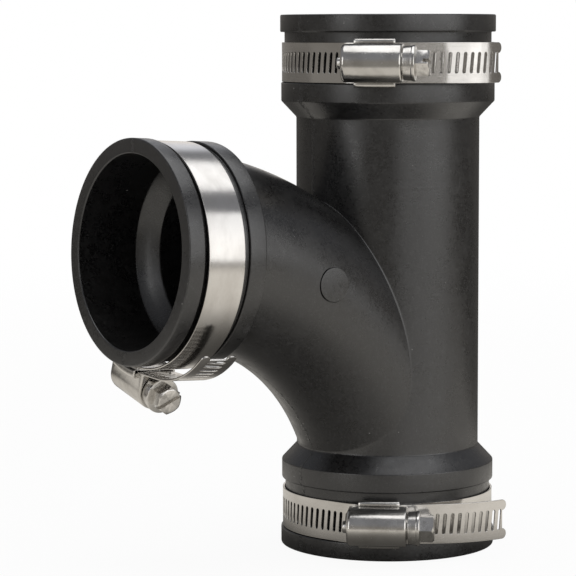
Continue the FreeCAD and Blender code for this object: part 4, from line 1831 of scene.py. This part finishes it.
@dataclass
class ClampPlaces:
    """Where the three clamps stand on the tee."""

    tee: RubberTee
    rest_gap: float = 0.2
    branch_rest_gap: float = 1.2
    upper_angle: float = 46.5
    lower_angle: float = 49.0
    branch_angle: float = 14.8

    def frame_of(self, middle: Vector, axis: Vector, outward: Vector) -> Matrix:
        """A clamp's frame.

        Args:
            middle: The ring's middle.
            axis: The ring's axis.
            outward: The way to the housing.

        Returns:
            The placement, in millimetres.
        """
        head = outward.cross(axis)
        columns = Matrix((head, outward, axis)).transposed()
        return Matrix.Translation(middle) @ columns.to_4x4()

    def on_run(self, height: float, angle: float) -> Matrix:
        """The frame of a clamp on the run."""
        return self.frame_of(Vector((0, 0, height)), Vector((0, 0, -1)), level_way(math.radians(angle)))

    def of(self, collar: Collar) -> Matrix:
        """The frame of the clamp on a collar.

        Args:
            collar: The collar.

        Returns:
            The placement, in millimetres.
        """
        half = HoseClamp.strip_width / 2 + self.rest_gap
        tee = self.tee
        if collar is Collar.UPPER:
            shoulder = tee.height - tee.lip_height - tee.groove_width
            return self.on_run(shoulder + half, self.upper_angle)
        if collar is Collar.LOWER:
            return self.on_run(tee.lip_height + half, self.lower_angle)
        tilt = math.radians(tee.branch_tilt)
        turn = math.radians(self.branch_angle)
        branch = Vector((math.cos(tilt), 0, math.sin(tilt)))
        down = Vector((math.sin(tilt), 0, -math.cos(tilt)))
        outward = down * math.cos(turn) - Vector((0, math.sin(turn), 0))
        along = tee.branch_reach - tee.lip_height - self.branch_rest_gap - HoseClamp.strip_width / 2
        middle = Vector((0, 0, tee.branch_height)) + branch * along
        return self.frame_of(middle + down * FITS[collar].slack, -branch, outward)


# Studio


FACING = 52.96
SHINY_RAYS = ("Is Glossy Ray", "Is Transmission Ray")


class LampShape(Enum):
    """The outline of a soft box."""

    RECTANGLE = "RECTANGLE"
    ELLIPSE = "ELLIPSE"


@dataclass(frozen=True)
class SoftBox:
    """An area lamp that faces the tee, in degrees from +X and the floor, metres and watts."""

    name: str
    azimuth: float
    elevation: float
    distance: float
    size: tuple[float, float]
    power: float
    shape: LampShape = LampShape.RECTANGLE

    def hang(self, aim: Vector) -> None:
        """Hangs the lamp.

        Args:
            aim: The point that it faces.
        """
        lamp = bpy.data.lights.new(self.name, "AREA")
        lamp.shape = self.shape.value
        lamp.size, lamp.size_y = self.size
        lamp.energy = self.power
        holder = bpy.data.objects.new(self.name, lamp)
        flat, up = math.radians(self.azimuth), math.radians(self.elevation)
        way = Vector((math.cos(up) * math.cos(flat), math.cos(up) * math.sin(flat), math.sin(up)))
        holder.location = aim + way * self.distance
        holder.rotation_euler = way.to_track_quat("Z", "Y").to_euler()
        bpy.context.scene.collection.objects.link(holder)


LAMPS = (
    SoftBox("right_box", FACING + 49, 10, 1.5, (2.12, 1.80), 14.6),
    SoftBox("core_box", FACING + 60, 8, 1.45, (0.55, 1.20), 0.65),
    SoftBox("left_box", FACING - 45, 12, 1.5, (0.60, 1.20), 3.4),
    SoftBox("top_box", 187.0, 80.2, 1.5, (1.77, 1.77), 11.6, LampShape.ELLIPSE),
)


@dataclass
class Studio:
    """Pale floor, plain room, soft boxes and the camera."""

    camera_place: Vector = field(default_factory=lambda: Vector((0.50215, 0.66541, 0.16743)))
    camera_turn: tuple[float, float, float] = (84.1779, 0.1100, 145.0814)
    focal_pixels: float = 2551.3
    centre_pixels: tuple[float, float] = (292.9, 292.7)
    frame_pixels: int = 576
    aim: Vector = field(default_factory=lambda: Vector((0.02, 0.0, 0.09)))
    fill_level: float = 0.40
    dim_level: float = 0.28
    warm: Colour = (1.0, 0.94, 0.87)
    cool: Colour = (0.91, 0.93, 1.0)
    table_tint: Colour = (1.0, 0.955, 0.88)
    floor_radius: float = 9000.0
    floor_drop: float = 0.05

    def camera(self) -> None:
        """Stands the camera where the photograph was taken."""
        data = bpy.data.cameras.new("camera")
        data.sensor_width = 36.0
        data.lens = self.focal_pixels / self.frame_pixels * data.sensor_width
        middle = self.frame_pixels / 2
        data.shift_x = (middle - self.centre_pixels[0]) / self.frame_pixels
        data.shift_y = (self.centre_pixels[1] - middle) / self.frame_pixels
        data.clip_start = 0.01
        eye = bpy.data.objects.new("camera", data)
        eye.location = self.camera_place
        eye.rotation_euler = [math.radians(turn) for turn in self.camera_turn]
        bpy.context.scene.collection.objects.link(eye)
        bpy.context.scene.camera = eye

    @property
    def front(self) -> Vector:
        """The level direction from the tee to the camera."""
        return level_way(math.radians(FACING))

    @property
    def side(self) -> Vector:
        """The level direction to the camera's right."""
        return Vector((-self.front.y, self.front.x, 0.0))

    def mirrored(self, bench: Bench, way: NodeSocket) -> Number:
        """How bright shiny surfaces find the room in a direction: dim but for the white wall behind.

        Args:
            bench: The nodes to add to.
            way: The direction, of length 1.

        Returns:
            The level, from 0 to 1.
        """
        behind = bench.toward(way, self.front).ramp(-0.45, -0.75)
        middle = abs(bench.toward(way, self.side)).ramp(0.16, 0.03)
        return self.dim_level + behind * middle * (1.0 - self.dim_level)

    def surroundings(self) -> None:
        """Makes the world: white to the eye, dim in reflections, warm low down and cool above."""
        world = bpy.data.worlds.new("studio")
        bpy.context.scene.world = world
        bench = Bench(world)
        way = bench.add("ShaderNodeTexCoord", {}, {}).outputs["Generated"]
        height = bench.toward(way, Vector((0.0, 0.0, 1.0))).ramp(0.10, 0.50)
        tinted = bench.mix_shaders(height, bench.glow(1.0, self.warm), bench.glow(1.0, self.cool))
        mirrored = bench.mix_shaders(self.mirrored(bench, way), bench.glow(0.0), tinted)
        lit = bench.mix_shaders(bench.rays(*SHINY_RAYS), bench.glow(self.fill_level), mirrored)
        seen = bench.mix_shaders(bench.rays("Is Camera Ray"), lit, bench.glow(1.0))
        bench.add("ShaderNodeOutputWorld", {}, {"Surface": seen.outputs[0]})

    def floor(self) -> None:
        """Lays the pale floor, which is bright round the tee in reflections and dims away from it."""
        mesh = Mesh()
        ring = [level_way(angle) * self.floor_radius for angle in around(64)]
        mesh.faces.append(tuple(mesh.point(place - Vector((0, 0, self.floor_drop))) for place in ring))
        ground = mesh.build("floor")
        coat = Coat("pale_floor")
        material = coat.finish((0.90, 0.90, 0.90), 0.9, Specular_IOR_Level=0.1)
        place = coat.place()
        distance = coat.reach(place)
        way = coat.vector_node("NORMALIZE", place).outputs[0]
        nearer = coat.toward(place, self.front)
        # Far from the tee the floor carries the room's light on, and less of it behind the tee
        room = self.mirrored(coat, way) * (0.45 + nearer.ramp(-0.20, 0.0) * 0.55)
        # The table's bright part ends in front, behind and all round, in metres from the tee
        table = nearer.ramp(0.50, 0.28) * nearer.ramp(-0.25, -0.05) * distance.ramp(0.90, 0.40)
        # Under and beside the tee little light reaches the table
        contact = distance.ramp(0.038, 0.115)
        lit_table = 0.75 + coat.toward(place, self.side).ramp(0.0, 0.12) * 0.20
        level = (room + table * (lit_table - room)) * (0.12 + contact * 0.88)
        mirrored = coat.mix_shaders(level, coat.glow(0.0), coat.glow(1.0, self.table_tint))
        shaded = distance.ramp(1.1, 0.25) * 0.07
        seen = coat.mix_shaders(shaded, coat.glow(1.0), coat.shader)
        lit = coat.mix_shaders(coat.rays("Is Camera Ray"), coat.shader, seen)
        mixed = coat.mix_shaders(coat.rays(*SHINY_RAYS), lit, mirrored)
        coat.feed(coat.output, "Surface", mixed.outputs[0])
        ground.data.materials.append(material)
        ground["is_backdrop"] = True

    def build(self) -> None:
        """Makes the whole studio."""
        bpy.context.scene.view_settings.view_transform = "Standard"
        self.camera()
        for lamp in LAMPS:
            lamp.hang(self.aim)
        self.surroundings()
        self.floor()


def main() -> None:
    """Builds the studio, the tee and its clamps."""
    logging.basicConfig(level=logging.INFO, format="%(message)s")
    Studio().build()
    tee = RubberTee()
    body = tee.build(MouldedRubber().material(), CoredRubber().material())
    hand_over(body, "tee", "tee_body")
    places = ClampPlaces(tee)
    strip = RolledStrip("rolled_strip").material()
    pressed = PressedSteel("pressed_steel").material()
    finishes = ClampFinishes(strip, pressed, TurnedSteel("turned_steel").material())
    for collar in Collar:
        HoseClamp(collar, places.of(collar), finishes).dress()
    boxes = {"cad": CAD_BOUNDS, "visual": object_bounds()}
    plain = {name: [list(corner) for corner in box] for name, box in boxes.items()}


if __name__ == "__main__":
    main()
